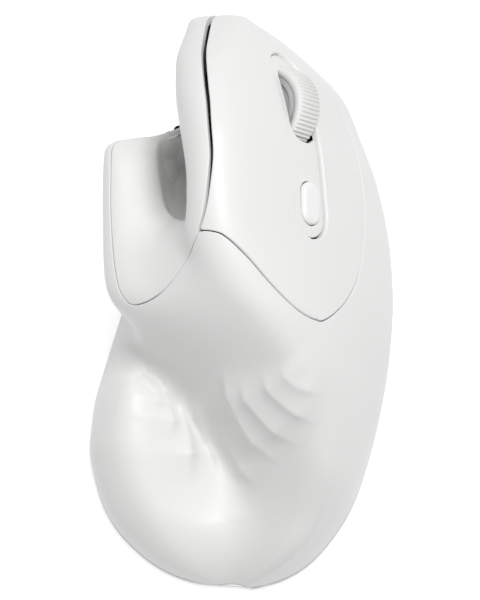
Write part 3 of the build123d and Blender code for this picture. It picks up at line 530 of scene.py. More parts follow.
def link_mesh(name: str, points: Sequence[Sequence[float]], faces: Sequence[Sequence[int]],
              smooth: bool = True) -> bpy.types.Object:
    """Makes a mesh object and links it to the scene.

    Args:
        name: Name of the object.
        points: Points in metres.
        faces: Corner numbers of each face.
        smooth: Whether its faces are shaded smooth.

    Returns:
        The object.
    """
    mesh = bpy.data.meshes.new(name)
    mesh.from_pydata(points, [], faces)
    if smooth:
        mesh.polygons.foreach_set("use_smooth", [True] * len(mesh.polygons))
    made = bpy.data.objects.new(name, mesh)
    bpy.context.scene.collection.objects.link(made)
    return made


def make_object(name: str, points: np.ndarray, faces: Sequence[Sequence[int]],
                normals: np.ndarray | None = None) -> bpy.types.Object:
    """Makes a smooth mesh object from millimetre points of the form's own frame.

    Args:
        name: Name of the object.
        points: Points, one per row.
        faces: Corner numbers of each face.
        normals: Outward directions at the points, where they are known.

    Returns:
        The object, at the origin of the shared frame.
    """
    made = link_mesh(name, ((points - CENTRE) * MM).tolist(), faces)
    if normals is not None:
        made.data.normals_split_custom_set_from_vertices(normals.tolist())
    made.data.update()
    return made


def moulded(name: str, patch: Patch, borders: Sequence[Border], wall: float = WALL,
            drop: float | None = None) -> bpy.types.Object:
    """Makes a closed moulding with rounded edges from a trimmed patch.

    Args:
        name: Name of the piece.
        patch: The surface that the piece shows.
        borders: The edges that bound it.
        wall: Thickness of the moulding.
        drop: Depth of the side walls at its edges, where it isn't the thickness.

    Returns:
        The piece.
    """
    skin = Trimmer(patch, borders).cut()
    points, normals = [skin.points], [skin.normals]
    faces: list[list[int]] = skin.faces.tolist()
    total = len(skin.points)
    under_start = total
    inner = skin.points - skin.normals * wall
    inner[:, 1] = np.minimum(inner[:, 1], FRONT_Y - wall)
    points.append(inner)
    normals.append(-skin.normals)
    faces += (skin.faces[:, ::-1] + under_start).tolist()
    total += len(skin.points)
    for loop in skin.loops:
        n = np.array(loop.members)
        if len(n) < 8:
            faces.append([int(k) for k in n[::-1]])
            faces.append([int(k) + under_start for k in n])
            continue
        base, up = skin.points[n], skin.normals[n]
        ahead = np.roll(base, -2, 0) - np.roll(base, 2, 0)
        out = rows_unit(np.cross(ahead, up))
        out = round_mean(out, 3)
        out = rows_unit(out - (out * up).sum(1, keepdims=True) * up)
        radius = round_mean(skin.radii[n], 2)[:, None]
        before = n
        depth = drop or wall
        for turn, extra in ((30, 0), (60, 0), (90, 0), (90, depth)):
            angle = math.radians(turn)
            lower = radius * (1 - math.cos(angle)) if not extra else np.full_like(radius, extra)
            ring = np.arange(total, total + len(n))
            edge = base + out * radius * math.sin(angle) - up * lower
            edge[:, 1] = np.minimum(edge[:, 1], FRONT_Y)
            points.append(edge)
            normals.append(rows_unit(out * math.sin(angle) + up * math.cos(angle)))
            total += len(n)
            faces += stitched(before, ring)
            before = ring
        faces += stitched(before, n + under_start)
    return make_object(name, np.vstack(points), faces, np.vstack(normals))


def stitched(upper: np.ndarray, lower: np.ndarray) -> list[list[int]]:
    """Quads between two closed rings of the same length."""
    return np.column_stack([np.roll(upper, -1), upper, lower, np.roll(lower, -1)]).tolist()


def ring_quads(rings: int, count: int, first: int = 0) -> list[tuple[int, int, int, int]]:
    """Quads between rings of count points that follow each other, from the point first on."""
    return [(first + k * count + j, first + k * count + (j + 1) % count,
             first + (k + 1) * count + (j + 1) % count, first + (k + 1) * count + j)
            for k in range(rings - 1) for j in range(count)]


def slope_point(s: float | np.ndarray, y: float | np.ndarray, h: float | np.ndarray) -> np.ndarray:
    """Places given down, along and out of the right slope, as points of the form's frame."""
    s, y, h = np.broadcast_arrays(s, y, h)
    return s[..., None] * SLOPE_S + h[..., None] * SLOPE_H + y[..., None] * np.array([0.0, 1.0, 0.0])


# Finishes


def srgb(code: str) -> tuple[float, float, float, float]:
    """A colour written as sRGB hex, in linear values."""
    parts = [int(code[k:k + 2], 16) / 255 for k in (1, 3, 5)]
    line = [p / 12.92 if p <= 0.04045 else ((p + 0.055) / 1.055) ** 2.4 for p in parts]
    return (line[0], line[1], line[2], 1.0)


def add_node(tree: bpy.types.NodeTree, kind: str, settings: dict[str, Any] | None = None,
             inputs: dict[str | int, Any] | None = None) -> bpy.types.Node:
    """Adds a node with its settings and links.

    Args:
        tree: The tree it goes into.
        kind: Type name of the node.
        settings: Its properties.
        inputs: Values or sockets for its inputs, by name or number.

    Returns:
        The node.
    """
    node = tree.nodes.new(kind)
    for name, value in (settings or {}).items():
        setattr(node, name, value)
    for name, value in (inputs or {}).items():
        if isinstance(value, bpy.types.NodeSocket):
            tree.links.new(value, node.inputs[name])
        else:
            node.inputs[name].default_value = value
    return node


def new_material(name: str) -> tuple[bpy.types.Material, bpy.types.NodeTree, bpy.types.NodeSocket]:
    """An empty material with its tree and the object coordinates' socket."""
    made = bpy.data.materials.new(name)
    made.use_nodes = True
    made.node_tree.nodes.clear()
    where = add_node(made.node_tree, "ShaderNodeTexCoord")
    return made, made.node_tree, where.outputs["Object"]


def blend_colours(tree: bpy.types.NodeTree, share: bpy.types.NodeSocket, low: str, high: str) -> bpy.types.NodeSocket:
    """A colour between two sRGB hex colours."""
    mix = add_node(tree, "ShaderNodeMix", {"data_type": "RGBA"}, {0: share, 6: srgb(low), 7: srgb(high)})
    return mix.outputs[2]


def gloss_range(tree: bpy.types.NodeTree, value: bpy.types.NodeSocket, low: float, high: float) -> bpy.types.NodeSocket:
    """A roughness between two values."""
    return add_node(tree, "ShaderNodeMapRange", None, {"Value": value, "To Min": low, "To Max": high}).outputs["Result"]


def relief(tree: bpy.types.NodeTree, height: bpy.types.NodeSocket, strength: float,
           distance: float) -> bpy.types.NodeSocket:
    """A bumped normal."""
    bump = add_node(tree, "ShaderNodeBump", None, {"Height": height, "Strength": strength, "Distance": distance})
    return bump.outputs["Normal"]


def shade(tree: bpy.types.NodeTree, inputs: dict[str | int, Any]) -> None:
    """Ends a tree with a principled shader."""
    shader = add_node(tree, "ShaderNodeBsdfPrincipled", None, inputs)
    add_node(tree, "ShaderNodeOutputMaterial", None, {"Surface": shader.outputs["BSDF"]})


@dataclass(frozen=True)
class MouldedPlastic:
    """Injection-moulded plastic: an even tone, a fine spark-eroded grain and a slight drift of gloss."""

    name: str
    colour: str
    shade: str
    roughness: float = 0.42
    grain_mm: float = 0.35
    grain_depth: float = 0.06
    ior: float = 1.5
    coat: float = 0.0

    def material(self) -> bpy.types.Material:
        """Builds the material."""
        made, tree, place = new_material(self.name)
        drift = add_node(tree, "ShaderNodeTexNoise", None, {"Vector": place, "Scale": 28.0, "Detail": 2.0})
        tone = blend_colours(tree, drift.outputs["Fac"], self.colour, self.shade)
        grain = add_node(tree, "ShaderNodeTexNoise", None,
                         {"Vector": place, "Scale": 1000 / self.grain_mm / 2, "Detail": 1.0, "Roughness": 0.5})
        gloss = gloss_range(tree, drift.outputs["Fac"], self.roughness - 0.04, self.roughness + 0.05)
        shade(tree, {"Base Color": tone, "Roughness": gloss, "IOR": self.ior, "Coat Weight": self.coat,
                     "Normal": relief(tree, grain.outputs["Fac"], self.grain_depth, 0.0002)})
        return made


@dataclass(frozen=True)
class SheetMetal:
    """Plated or drawn steel: drawn lines along one way, and small changes of gloss where it was handled."""

    name: str
    colour: str
    roughness: float
    line_mm: float

    def material(self) -> bpy.types.Material:
        """Builds the material."""
        made, tree, place = new_material(self.name)
        turned = add_node(tree, "ShaderNodeMapping", None, {"Vector": place, "Scale": (1.0, 14.0, 14.0)})
        lines = add_node(tree, "ShaderNodeTexNoise", None,
                         {"Vector": turned.outputs["Vector"], "Scale": 1000 / self.line_mm / 14, "Detail": 3.0})
        drawn = lines.outputs["Fac"]
        shade(tree, {"Base Color": blend_colours(tree, drawn, self.colour, "#8c9094"), "Metallic": 1.0,
                     "Roughness": gloss_range(tree, drawn, self.roughness - 0.08, self.roughness + 0.12),
                     "Normal": relief(tree, drawn, 0.05, 0.0001)})
        return made


@dataclass(frozen=True)
class Laminate:
    """Glass-fibre board under solder resist: paler tracks show through the green lacquer over a weave."""

    name: str = "fr4_board_solder_resist"
    lacquer: str = "#1d5c38"
    track: str = "#2f7a4c"
    pitch_mm: float = 1.27

    def material(self) -> bpy.types.Material:
        """Builds the material."""
        made, tree, place = new_material(self.name)
        runs = add_node(tree, "ShaderNodeTexWave", {"wave_type": "BANDS", "bands_direction": "Y"},
                        {"Vector": place, "Scale": 1000 / self.pitch_mm / 20, "Distortion": 2.5, "Detail": 0.0})
        edge = add_node(tree, "ShaderNodeMath", {"operation": "GREATER_THAN"}, {0: runs.outputs["Fac"], 1: 0.62})
        weave = add_node(tree, "ShaderNodeTexVoronoi", None, {"Vector": place, "Scale": 1600.0})
        tone = blend_colours(tree, edge.outputs["Value"], self.lacquer, self.track)
        shade(tree, {"Base Color": tone, "Roughness": 0.3, "Coat Weight": 0.3,
                     "Normal": relief(tree, weave.outputs["Distance"], 0.05, 0.0001)})
        return made


@dataclass(frozen=True)
class CellSleeve:
    """Shrink sleeve over a steel can: grey lacquer with one darker band round the positive end."""

    name: str = "cell_shrink_sleeve"
    sleeve: str = "#6d7278"
    band: str = "#2b2e33"
    band_from_m: float = 0.0

    def material(self) -> bpy.types.Material:
        """Builds the material."""
        made, tree, place = new_material(self.name)
        split = add_node(tree, "ShaderNodeSeparateXYZ", None, {"Vector": place})
        ahead = add_node(tree, "ShaderNodeMath", {"operation": "GREATER_THAN"},
                         {0: split.outputs["Y"], 1: self.band_from_m})
        drift = add_node(tree, "ShaderNodeTexNoise", None, {"Vector": place, "Scale": 60.0})
        shade(tree, {"Base Color": blend_colours(tree, ahead.outputs["Value"], self.sleeve, self.band),
                     "Metallic": 0.4, "Roughness": gloss_range(tree, drift.outputs["Fac"], 0.25, 0.38)})
        return made


@dataclass(frozen=True)
class ClearMoulding:
    """Clear polycarbonate lens: light passes through with faint flow ripples."""

    name: str = "clear_polycarbonate_lens"

    def material(self) -> bpy.types.Material:
        """Builds the material."""
        made, tree, place = new_material(self.name)
        ripple = add_node(tree, "ShaderNodeTexNoise", None, {"Vector": place, "Scale": 300.0})
        shade(tree, {"Base Color": srgb("#eef4f6"), "Roughness": 0.06, "IOR": 1.58, "Transmission Weight": 0.9,
                     "Normal": relief(tree, ripple.outputs["Fac"], 0.05, 0.0002)})
        return made


FINISHES = {
    # ABS from a finely eroded mould: a soft satin white that takes broad, dull highlights
    Slot.SHELL: MouldedPlastic("abs_satin_white", "#f0f0ef", "#ebebea", 0.44, 0.45, 0.07),
    # ABS from a polished mould: the same white, a little smoother than the shell round it
    Slot.BUTTON: MouldedPlastic("abs_smooth_white", "#f7f7f6", "#f2f2f1", 0.32, 0.5, 0.03),
    # Moulded silicone: white with no clear highlight
    Slot.TYRE: MouldedPlastic("silicone_white", "#efefed", "#e7e7e5", 0.6, 0.3, 0.1, 1.43),
    # Acetal: slightly waxy pale grey
    Slot.HUB: MouldedPlastic("acetal_pale_grey", "#c9cacb", "#c0c1c2", 0.36, 0.5, 0.04, 1.48),
    # Glass-filled nylon: black with fibres that break the gloss
    Slot.FRAME: MouldedPlastic("filled_nylon_black", "#1c1c1e", "#26262a", 0.52, 0.3, 0.16),
    # Nickel-plated steel: bright, with drawn lines
    Slot.STEEL: SheetMetal("nickel_plated_steel", "#c9ccd0", 0.28, 0.5),
    Slot.BOARD: Laminate(),
    # Moulded epoxy: dull charcoal
    Slot.CHIP: MouldedPlastic("epoxy_charcoal", "#17171a", "#202024", 0.5, 0.25, 0.12),
    # PBT switch case: black with a slight shine
    Slot.SWITCH: MouldedPlastic("pbt_switch_black", "#202124", "#27282c", 0.34, 0.4, 0.05),
    # Acetal plunger: deep red
    Slot.PLUNGER: MouldedPlastic("acetal_red", "#b3261d", "#a2211a", 0.36, 0.4, 0.04),
    Slot.LENS: ClearMoulding(),
    Slot.CELL: CellSleeve(),
    # Skived low-friction sheet: waxy white with faint knife marks
    Slot.GLIDE: MouldedPlastic("ptfe_sheet_white", "#e9e9e6", "#dfdfdc", 0.38, 0.8, 0.05, 1.38),
    # Polyester film cable: pale grey and flexible
    Slot.CABLE: MouldedPlastic("polyester_film_grey", "#b9babd", "#a9aaae", 0.3, 0.7, 0.03),
    # ABS receiver cap: satin black
    Slot.RECEIVER: MouldedPlastic("abs_satin_black", "#1a1a1c", "#222225", 0.4, 0.4, 0.06),
}


class Finisher:
    """Gives pieces and CAD nodes their finishes."""

    def __init__(self) -> None:
        """Builds each finish once."""
        self.materials = {slot: finish.material() for slot, finish in FINISHES.items()}

    def dress(self, piece: bpy.types.Object, slot: Slot) -> None:
        """Gives a new piece the finish of its slot."""
        piece.data.materials.clear()
        piece.data.materials.append(self.materials[slot])

    def dress_nodes(self) -> None:
        """Gives every CAD node the finish of its slot."""
        for part in frame["record"]["subparts"]:
            node = frame["nodes"][part["node"]]
            finish = self.materials[Slot(part["material_slot"])]
            for place in node.material_slots:
                place.material = finish


# Sub-assemblies


@dataclass
class Seams:
    """Distances from the seams at each point of a patch, positive inside the thumb panel or the key cover."""

    patch: Patch
    ridge_gap_rear: float = 0.35
    ridge_gap_front: float = 1.0
    cover_gap: float = 0.25
    panel_edge: float = 5.75
    ridge_span: float = 12.6
    nose_z: float = 22.0

    def __post_init__(self) -> None:
        """Works out the fields that the pieces share."""
        p = self.patch
        x, y = p.points[:, 0], p.points[:, 1]
        plan, _ = side_of_line(p.points[:, :2], smooth_line(THUMB_SEAM))
        ridge = np.array(RIDGE_SEAM)
        line = smooth_line(RIDGE_SEAM[1:])
        order = np.concatenate([[ridge[0]], line])
        across = p.points @ RIDGE_P
        left = np.interp(y, order[:, 1], order[:, 0]) - across
        widening = np.interp(y, (0, 60), (self.ridge_gap_rear, self.ridge_gap_front))
        upper = (p.spans - self.panel_edge) * 8.0
        outline, _ = side_of_line(p.slope_places(), smooth_line(COVER_SEAM))
        nose = np.where(y > 50, p.on_surface(p.points[:, 2] - self.nose_z), -OUTSIDE)
        self.thumb = np.minimum.reduce([p.on_surface(plan), p.on_surface(upper), nose,
                                        np.where(p.spans < self.ridge_span, p.on_surface(left), OUTSIDE)])
        from_span = np.where(y > 48, 8.7, 9.5)
        outside = np.minimum(np.where(p.spans > from_span, p.on_surface(outline), OUTSIDE), nose)
        self.cover = np.minimum(outside, p.on_surface(-left))
        self.cover_piece = np.minimum(outside - self.cover_gap, p.on_surface(-left) - widening)
        self.base = p.on_surface(p.points[:, 2] - BASE_JOINT_Z)
        soft = np.clip((-29.0 - p.slope_places()[:, 0]) / 4.0, 0, 1) * np.clip((4.0 - y) / 3.0, 0, 1)
        self.groove = 0.3 + 0.3 * soft


@dataclass(frozen=True)
class TroughFront:
    """The deep front of the thumb trough, whose sharp left edge is seen from above, as (x, v)."""

    pocket_edge: tuple[tuple[float, float], ...] = (
        (-17.4, 41.5), (-18.3, 37.0), (-17.4, 29.5), (-16.3, 25.3), (-14.2, 23.0), (-11.0, 22.0))
    depth: float = 7.0
    edge_width: float = 1.3
    lowest: float = 4.5
    open_end: tuple[float, float] = (32.0, 37.0)

    def deepen(self, patch: Patch) -> None:
        """Drops the trough's floor beyond its edge."""
        seen = np.column_stack([patch.points[:, 0], patch.points @ VIEW_UP])
        inside, _ = side_of_line(seen, smooth_line(self.pocket_edge))
        share = np.clip(inside / self.edge_width, 0, 1)
        share = share**2 * (3 - 2 * share) * np.clip((9.0 - patch.spans) / 0.8, 0, 1) * (patch.spans > 5.9)
        start, end = self.open_end
        ramp = np.clip((end - patch.points[:, 1]) / (end - start), 0, 1)
        share *= ramp**2 * (3 - 2 * ramp)
        room = np.maximum(patch.points[:, 2] - self.lowest, 0.0)
        patch.points[:, 2] -= np.minimum(self.depth * share, room)
        patch.refresh()


@dataclass(frozen=True)
class Fold:
    """One soft pleat of the palm hollow: its crest seen from above (x, v), its height, and which way is outward."""

    crest: tuple[tuple[float, float], ...]
    height: float
    outward: int


FOLDS = (
    Fold(((8.1, -8.7), (9.6, -10.2), (12.4, -12.9), (15.3, -14.2), (18.3, -15.7)), 0.4, 1),
    Fold(((4.6, -8.9), (5.7, -11.1), (7.6, -13.9), (10.5, -16.8), (13.3, -19.2), (15.3, -20.9), (17.2, -22.7)), 0.6, 1),
    Fold(((0.2, -10.0), (1.7, -13.7), (4.1, -17.0), (6.1, -19.4), (8.3, -22.0), (10.9, -24.8), (13.7, -27.0)), 0.75, 1),
    Fold(((-4.4, -8.7), (-2.6, -12.6), (-0.9, -15.9), (1.1, -19.4), (2.6, -22.0), (4.8, -25.7), (6.8, -28.3),
          (9.2, -30.9)), 0.85, 1),
    Fold(((-3.9, -18.3), (-3.3, -21.4), (-1.5, -25.7), (0.2, -29.0), (1.7, -32.2), (4.1, -36.4)), 0.6, 1),
    Fold(((-10.7, -12.6), (-9.4, -15.3), (-7.8, -19.4), (-6.8, -23.1), (-5.7, -28.1), (-5.4, -33.8)), 0.8, -1),
    Fold(((-13.7, -10.9), (-12.6, -14.2), (-11.8, -18.3), (-11.3, -22.0), (-11.1, -28.1), (-10.7, -35.1)), 0.8, -1),
    Fold(((-16.3, -7.8), (-15.5, -11.3), (-15.0, -14.8), (-15.0, -21.1), (-15.9, -25.3)), 0.65, -1),
    Fold(((-17.2, -10.2), (-17.2, -13.7), (-17.6, -18.3)), 0.45, -1),
    Fold(((-19.4, -7.0), (-19.0, -10.2), (-20.5, -12.9)), 0.4, -1),
)

TRENCH = ((-23.0, 0.5), (-20.7, -2.2), (-15.3, -9.8), (-9.8, -17.9), (-5.0, -24.6), (-1.7, -32.9), (0.0, -42.0))


@dataclass
class Housing:
    """The main shell with its palm hollow and pleats."""

    form: MouseForm
    finisher: Finisher
    seam_gap: float = 0.25
    thumb_lip: float = 0.22
    outer_fall: float = 3.2
    inner_fall: float = 1.5
    pleat_scale: float = 2.6
    trench_depth: float = 6.5
    trench_widths: tuple[float, float] = (3.6, 6.0)

    def pleated(self, patch: Patch) -> None:
        """Raises the soft pleats of the palm hollow on a patch."""
        seen = np.column_stack([patch.points[:, 0], patch.points @ VIEW_UP])
        rise = np.zeros(len(seen))
        near = (patch.normals @ np.array([0.0, -0.24, 0.97]) > 0.05) & (patch.points[:, 1] < 6)
        off, share = side_of_line(seen[near], smooth_line(TRENCH), 0.0)
        ends = np.clip(share / 0.2, 0, 1) * np.clip((1 - share) / 0.4, 0, 1)
        width = np.where(off > 0, *self.trench_widths)
        lowered = self.trench_depth * np.exp(-((off / width) ** 2)) * ends
        for fold in FOLDS:
            off, share = side_of_line(seen[near], smooth_line(fold.crest), 0.0)
            d = off * fold.outward
            tip = np.sqrt(d**2 + 0.04) - 0.2
            shape = np.where(d > 0, np.exp(-tip / self.outer_fall), np.exp(-tip / self.inner_fall))
            ends = np.clip(share / 0.25, 0, 1) * np.clip((1 - share) / 0.3, 0, 1)
            rise[near] += self.pleat_scale * fold.height * shape * ends**1.5
        patch.points += patch.normals * rise[:, None]
        patch.points[near, 2] -= lowered
        patch.refresh()

    def build(self) -> bpy.types.Object:
        """Builds the shell."""
        spans = np.concatenate([np.linspace(0, 3, 25)[:-1], np.linspace(3, 7, 49)[:-1], np.linspace(7, 14, 155)[:-1],
                                np.linspace(14, 18, 49)])
        y = np.concatenate([self.form.rear_end + 6 * (1 - np.cos(np.linspace(0.02, 1.5708, 24)))[:-1],
                            np.arange(-54, -6, 0.46), np.arange(-6, 60, 0.7), [60.3, 60.6, 60.8, 60.93, 60.99]])
        patch = self.form.patch(spans, y)
        self.pleated(patch)
        seams = Seams(patch)
        shell = moulded("housing", patch, [Border(-seams.thumb, 0.0, self.thumb_lip),
                                           Border(-seams.cover, 0.0, seams.groove),
                                           Border(seams.base, self.seam_gap, 0.25)])
        self.finisher.dress(shell, Slot.SHELL)
        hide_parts("main_shell")
        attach(shell, "housing")
        return shell


@dataclass
class ThumbPanel:
    """The lining of the thumb trough with its two side buttons."""

    form: MouseForm
    finisher: Finisher
    button_z: float = 37.0
    button_ys: tuple[float, float] = (24.0, 36.5)
    button_half: tuple[float, float] = (5.5, 2.5)
    button_gap: float = 0.2
    proud: float = 0.7
    seam_gap: float = 0.25
    lip_overlap: float = 0.35
    edge_radius: float = 0.25

    def button_field(self, patch: Patch, y: float) -> np.ndarray:
        """Distance inside one side button's outline, on the wall of the trough."""
        inside = inside_box(patch.points[:, 1:], (y, self.button_z), self.button_half, 1.6)
        return np.where((patch.spans > 8.3) & (patch.spans < 11.5), inside, -20.0)

    def build(self) -> list[bpy.types.Object]:
        """Builds the panel and the buttons."""
        patch = self.form.patch(np.linspace(5, 12.6, 200),
                                np.concatenate([np.arange(-8, 60.3, 0.4), NOSE_ROWS]))
        seams = Seams(patch)
        TroughFront().deepen(patch)
        # The gap closes at the lip of the trough's open end, where the shell is too steep to show it cleanly
        front = np.clip((patch.points[:, 1] - 37.0) / 2.0, 0, 1) * (patch.points[:, 2] < 18.0)
        borders = [Border(seams.thumb, self.seam_gap - self.lip_overlap * front, self.edge_radius)]
        borders += [Border(-self.button_field(patch, y), self.button_gap, 0.15) for y in self.button_ys]
        panel = moulded("thumb_lining", patch, borders)
        self.finisher.dress(panel, Slot.SHELL)
        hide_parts("thumb_panel")
        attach(panel, "housing")
        made = [panel]
        wall = self.form.patch(np.linspace(8.3, 11.4, 90), np.arange(16, 44, 0.3)).moved(np.array([-self.proud, 0, 0]))
        for name, y in zip(("back_button", "forward_button"), self.button_ys):
            button = moulded(name + "_cap", wall, [Border(self.button_field(wall, y), 0.0, 0.45)], 1.2, 1.2)
            self.finisher.dress(button, Slot.BUTTON)
            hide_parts(name)
            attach(button, name)
            made.append(button)
        return made


@dataclass
class Console:
    """The sunk strip between the keys, its wheel slot and the pill button."""

    form: MouseForm
    finisher: Finisher
    rear: tuple[float, float] = (-28.4, 12.8)
    front: tuple[float, float] = (-29.4, 44.2)
    width: float = 10.8
    recess: float = 0.9
    gap: float = 0.25
    slot_place: tuple[float, float] = (-27.9, 38.1)
    slot_half: tuple[float, float] = (4.3, 8.8)
    pill_place: tuple[float, float] = (-28.1, 15.2)
    pill_size: tuple[float, float] = (5.6, 9.6)

    def outline(self, patch: Patch) -> np.ndarray:
        """Distance inside the strip's outline."""
        inside = inside_stadium(patch.slope_places(), np.array(self.rear), np.array(self.front), self.width)
        return np.where(patch.spans > 10, inside, OUTSIDE)

    def pill_ends(self) -> tuple[np.ndarray, np.ndarray]:
        """Centres of the pill button's two end arcs."""
        reach = (self.pill_size[1] - self.pill_size[0]) / 2
        middle = np.array(self.pill_place)
        return middle - [0, reach], middle + [0, reach]

    def build_strip(self) -> bpy.types.Object:
        """Builds the strip."""
        patch = self.form.patch(np.linspace(11.5, 15, 100), np.arange(4, 54, 0.36)).moved(-SLOPE_H * self.recess)
        places = patch.slope_places()
        slot = inside_box(places, self.slot_place, self.slot_half, 3.6)
        pill = inside_stadium(places, *self.pill_ends(), self.pill_size[0] + 0.4)
        strip = moulded("console_strip_face", patch, [Border(self.outline(patch), 0.15, 0.2), Border(-slot, 0.0, 0.3),
                                                      Border(-pill, 0.0, 0.2)], 1.2, 1.2)
        self.finisher.dress(strip, Slot.SHELL)
        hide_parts("console_strip")
        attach(strip, "housing")
        return strip

    def build_pill(self) -> bpy.types.Object:
        """Builds the pill button, crowned and rounded at its edge."""
        low = self.form.slope_height(*self.pill_place) - self.recess
        rear, front = self.pill_ends()
        radius = self.pill_size[0] / 2
        profile = [(0.0, -1.2), (0.0, 0.1), (0.05, 0.55), (0.25, 0.88), (0.6, 1.06), (1.1, 1.15), (1.8, 1.19)]
        steps = 96
        turns = np.linspace(-math.pi, math.pi, steps + 1)[:-1]
        points = []
        for inset, height in profile:
            ends = np.where((turns > 0)[:, None], front, rear)
            ring = ends + (radius - inset) * np.column_stack([np.cos(turns), np.sin(turns)])
            points.append(slope_point(ring[:, 0], ring[:, 1], low + height))
        faces: list[Sequence[int]] = [*ring_quads(len(profile), steps), range(steps - 1, -1, -1),
                                      range(steps * (len(profile) - 1), steps * len(profile))]
        pill = make_object("pill_button", np.vstack(points), faces)
        self.finisher.dress(pill, Slot.BUTTON)
        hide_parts("dpi_button")
        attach(pill, "pill")
        return pill


@dataclass
class KeyCover:
    """The cover over the finger slope, whose front is split into the two keys."""

    form: MouseForm
    finisher: Finisher
    console: Console
    split_s: float = -29.0
    bend_from: float = 2.5
    bend_to: float = 5.5

    def build(self, side: Side) -> bpy.types.Object:
        """Builds one half of the cover, from its fixed rear to the tip of its key."""
        patch = self.form.patch(np.linspace(8.6, 17, 236), np.concatenate(
            [np.arange(-16, 59.6, 0.56), [59.9, 60.3, 60.6, 60.8, 60.93, 60.99]]))
        seams = Seams(patch)
        half = patch.on_surface(side.value * (patch.slope_places()[:, 0] - self.split_s))
        piece = moulded(f"cover_{side.name.lower()}", patch,
                        [Border(seams.cover_piece, 0.0, np.maximum(seams.groove, 0.25)),
                         Border(-self.console.outline(patch), self.console.gap, 0.45),
                         Border(half, 0.0, 0.004),
                         Border(seams.base, 0.3, 0.2)])
        self.finisher.dress(piece, Slot.SHELL)
        key = f"{side.name.lower()}_key"
        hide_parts(key, "key_bridge")
        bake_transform(piece)
        return piece


@dataclass
class Repeater:
    """A Geometry Nodes tree that sets copies of one item on a ring or on given points."""

    name: str

    def tree(self, ring: bool) -> tuple[bpy.types.NodeTree, dict[str, str]]:
        """Builds the tree.

        Args:
            ring: Whether the copies stand round a ring, each turned outwards.

        Returns:
            The tree and the identifiers of its named inputs.
        """
        tree = bpy.data.node_groups.new(self.name, "GeometryNodeTree")
        sockets = [("Geometry", "NodeSocketGeometry"), ("Item", "NodeSocketObject"), ("Count", "NodeSocketInt"),
                   ("Radius", "NodeSocketFloat"), ("Finish", "NodeSocketMaterial")]
        names = {}
        for label, kind in sockets:
            names[label] = tree.interface.new_socket(label, in_out="INPUT", socket_type=kind).identifier
        tree.interface.new_socket("Geometry", in_out="OUTPUT", socket_type="NodeSocketGeometry")
        given = add_node(tree, "NodeGroupInput")
        item = add_node(tree, "GeometryNodeObjectInfo", None, {"Object": given.outputs["Item"]})
        spots = given.outputs["Geometry"]
        rotation: Any = (0.0, 0.0, 0.0)
        if ring:
            circle = add_node(tree, "GeometryNodeMeshCircle", None,
                              {"Vertices": given.outputs["Count"], "Radius": given.outputs["Radius"]})
            spots = circle.outputs["Mesh"]
            place = add_node(tree, "GeometryNodeInputPosition")
            aim = add_node(tree, "FunctionNodeAlignRotationToVector", {"axis": "X"},
                           {"Vector": place.outputs["Position"]})
            rotation = aim.outputs["Rotation"]
        copies = add_node(tree, "GeometryNodeInstanceOnPoints", None,
                          {"Points": spots, "Instance": item.outputs["Geometry"], "Rotation": rotation})
        real = add_node(tree, "GeometryNodeRealizeInstances", None, {"Geometry": copies.outputs["Instances"]})
        painted = add_node(tree, "GeometryNodeSetMaterial", None,
                           {"Geometry": real.outputs["Geometry"], "Material": given.outputs["Finish"]})
        add_node(tree, "NodeGroupOutput", None, {"Geometry": painted.outputs["Geometry"]})
        return tree, names

    def run(self, item: bpy.types.Object, finish: bpy.types.Material, spots: np.ndarray | None = None,
            count: int = 1, radius: float = 0.0) -> bpy.types.Object:
        """Sets the copies and bakes them to a plain mesh.

        Args:
            item: The object to repeat, which is removed afterwards.
            finish: Material of the copies.
            spots: Points of the shared frame in metres, where there is no ring.
            count: Number of copies round the ring.
            radius: Radius of the ring in metres.

        Returns:
            The baked object.
        """
        host_mesh = bpy.data.meshes.new(self.name)
        host_mesh.from_pydata([] if spots is None else spots.tolist(), [], [])
        host = bpy.data.objects.new(self.name + "_host", host_mesh)
        bpy.context.scene.collection.objects.link(host)
        tree, names = self.tree(spots is None)
        modifier = host.modifiers.new("repeat", "NODES")
        modifier.node_group = tree
        modifier[names["Item"]] = item
        modifier[names["Count"]] = count
        modifier[names["Radius"]] = radius
        modifier[names["Finish"]] = finish
        graph = bpy.context.evaluated_depsgraph_get()
        baked = bpy.data.meshes.new_from_object(host.evaluated_get(graph), depsgraph=graph)
        host.modifiers.remove(modifier)
        bpy.data.objects.remove(host)
        bpy.data.objects.remove(item)
        made = bpy.data.objects.new(self.name, baked)
        bpy.context.scene.collection.objects.link(made)
        return made


def turned(name: str, profile: Sequence[tuple[float, float]], steps: int) -> bpy.types.Object:
    """Turns a closed profile round the Z axis.

    Args:
        name: Name of the object.
        profile: Radius and height of each point in metres, closed in itself.
        steps: Number of steps round.

    Returns:
        A ring-shaped object, in its own frame.
    """
    count = len(profile)
    points, faces = [], []
    for k in range(steps):
        angle = 2 * math.pi * k / steps
        points += [(r * math.cos(angle), r * math.sin(angle), z) for r, z in profile]
    for k in range(steps):
        ahead = (k + 1) % steps
        for j in range(count):
            after = (j + 1) % count
            faces.append((k * count + j, ahead * count + j, ahead * count + after, k * count + after))
    return link_mesh(name, points, faces)


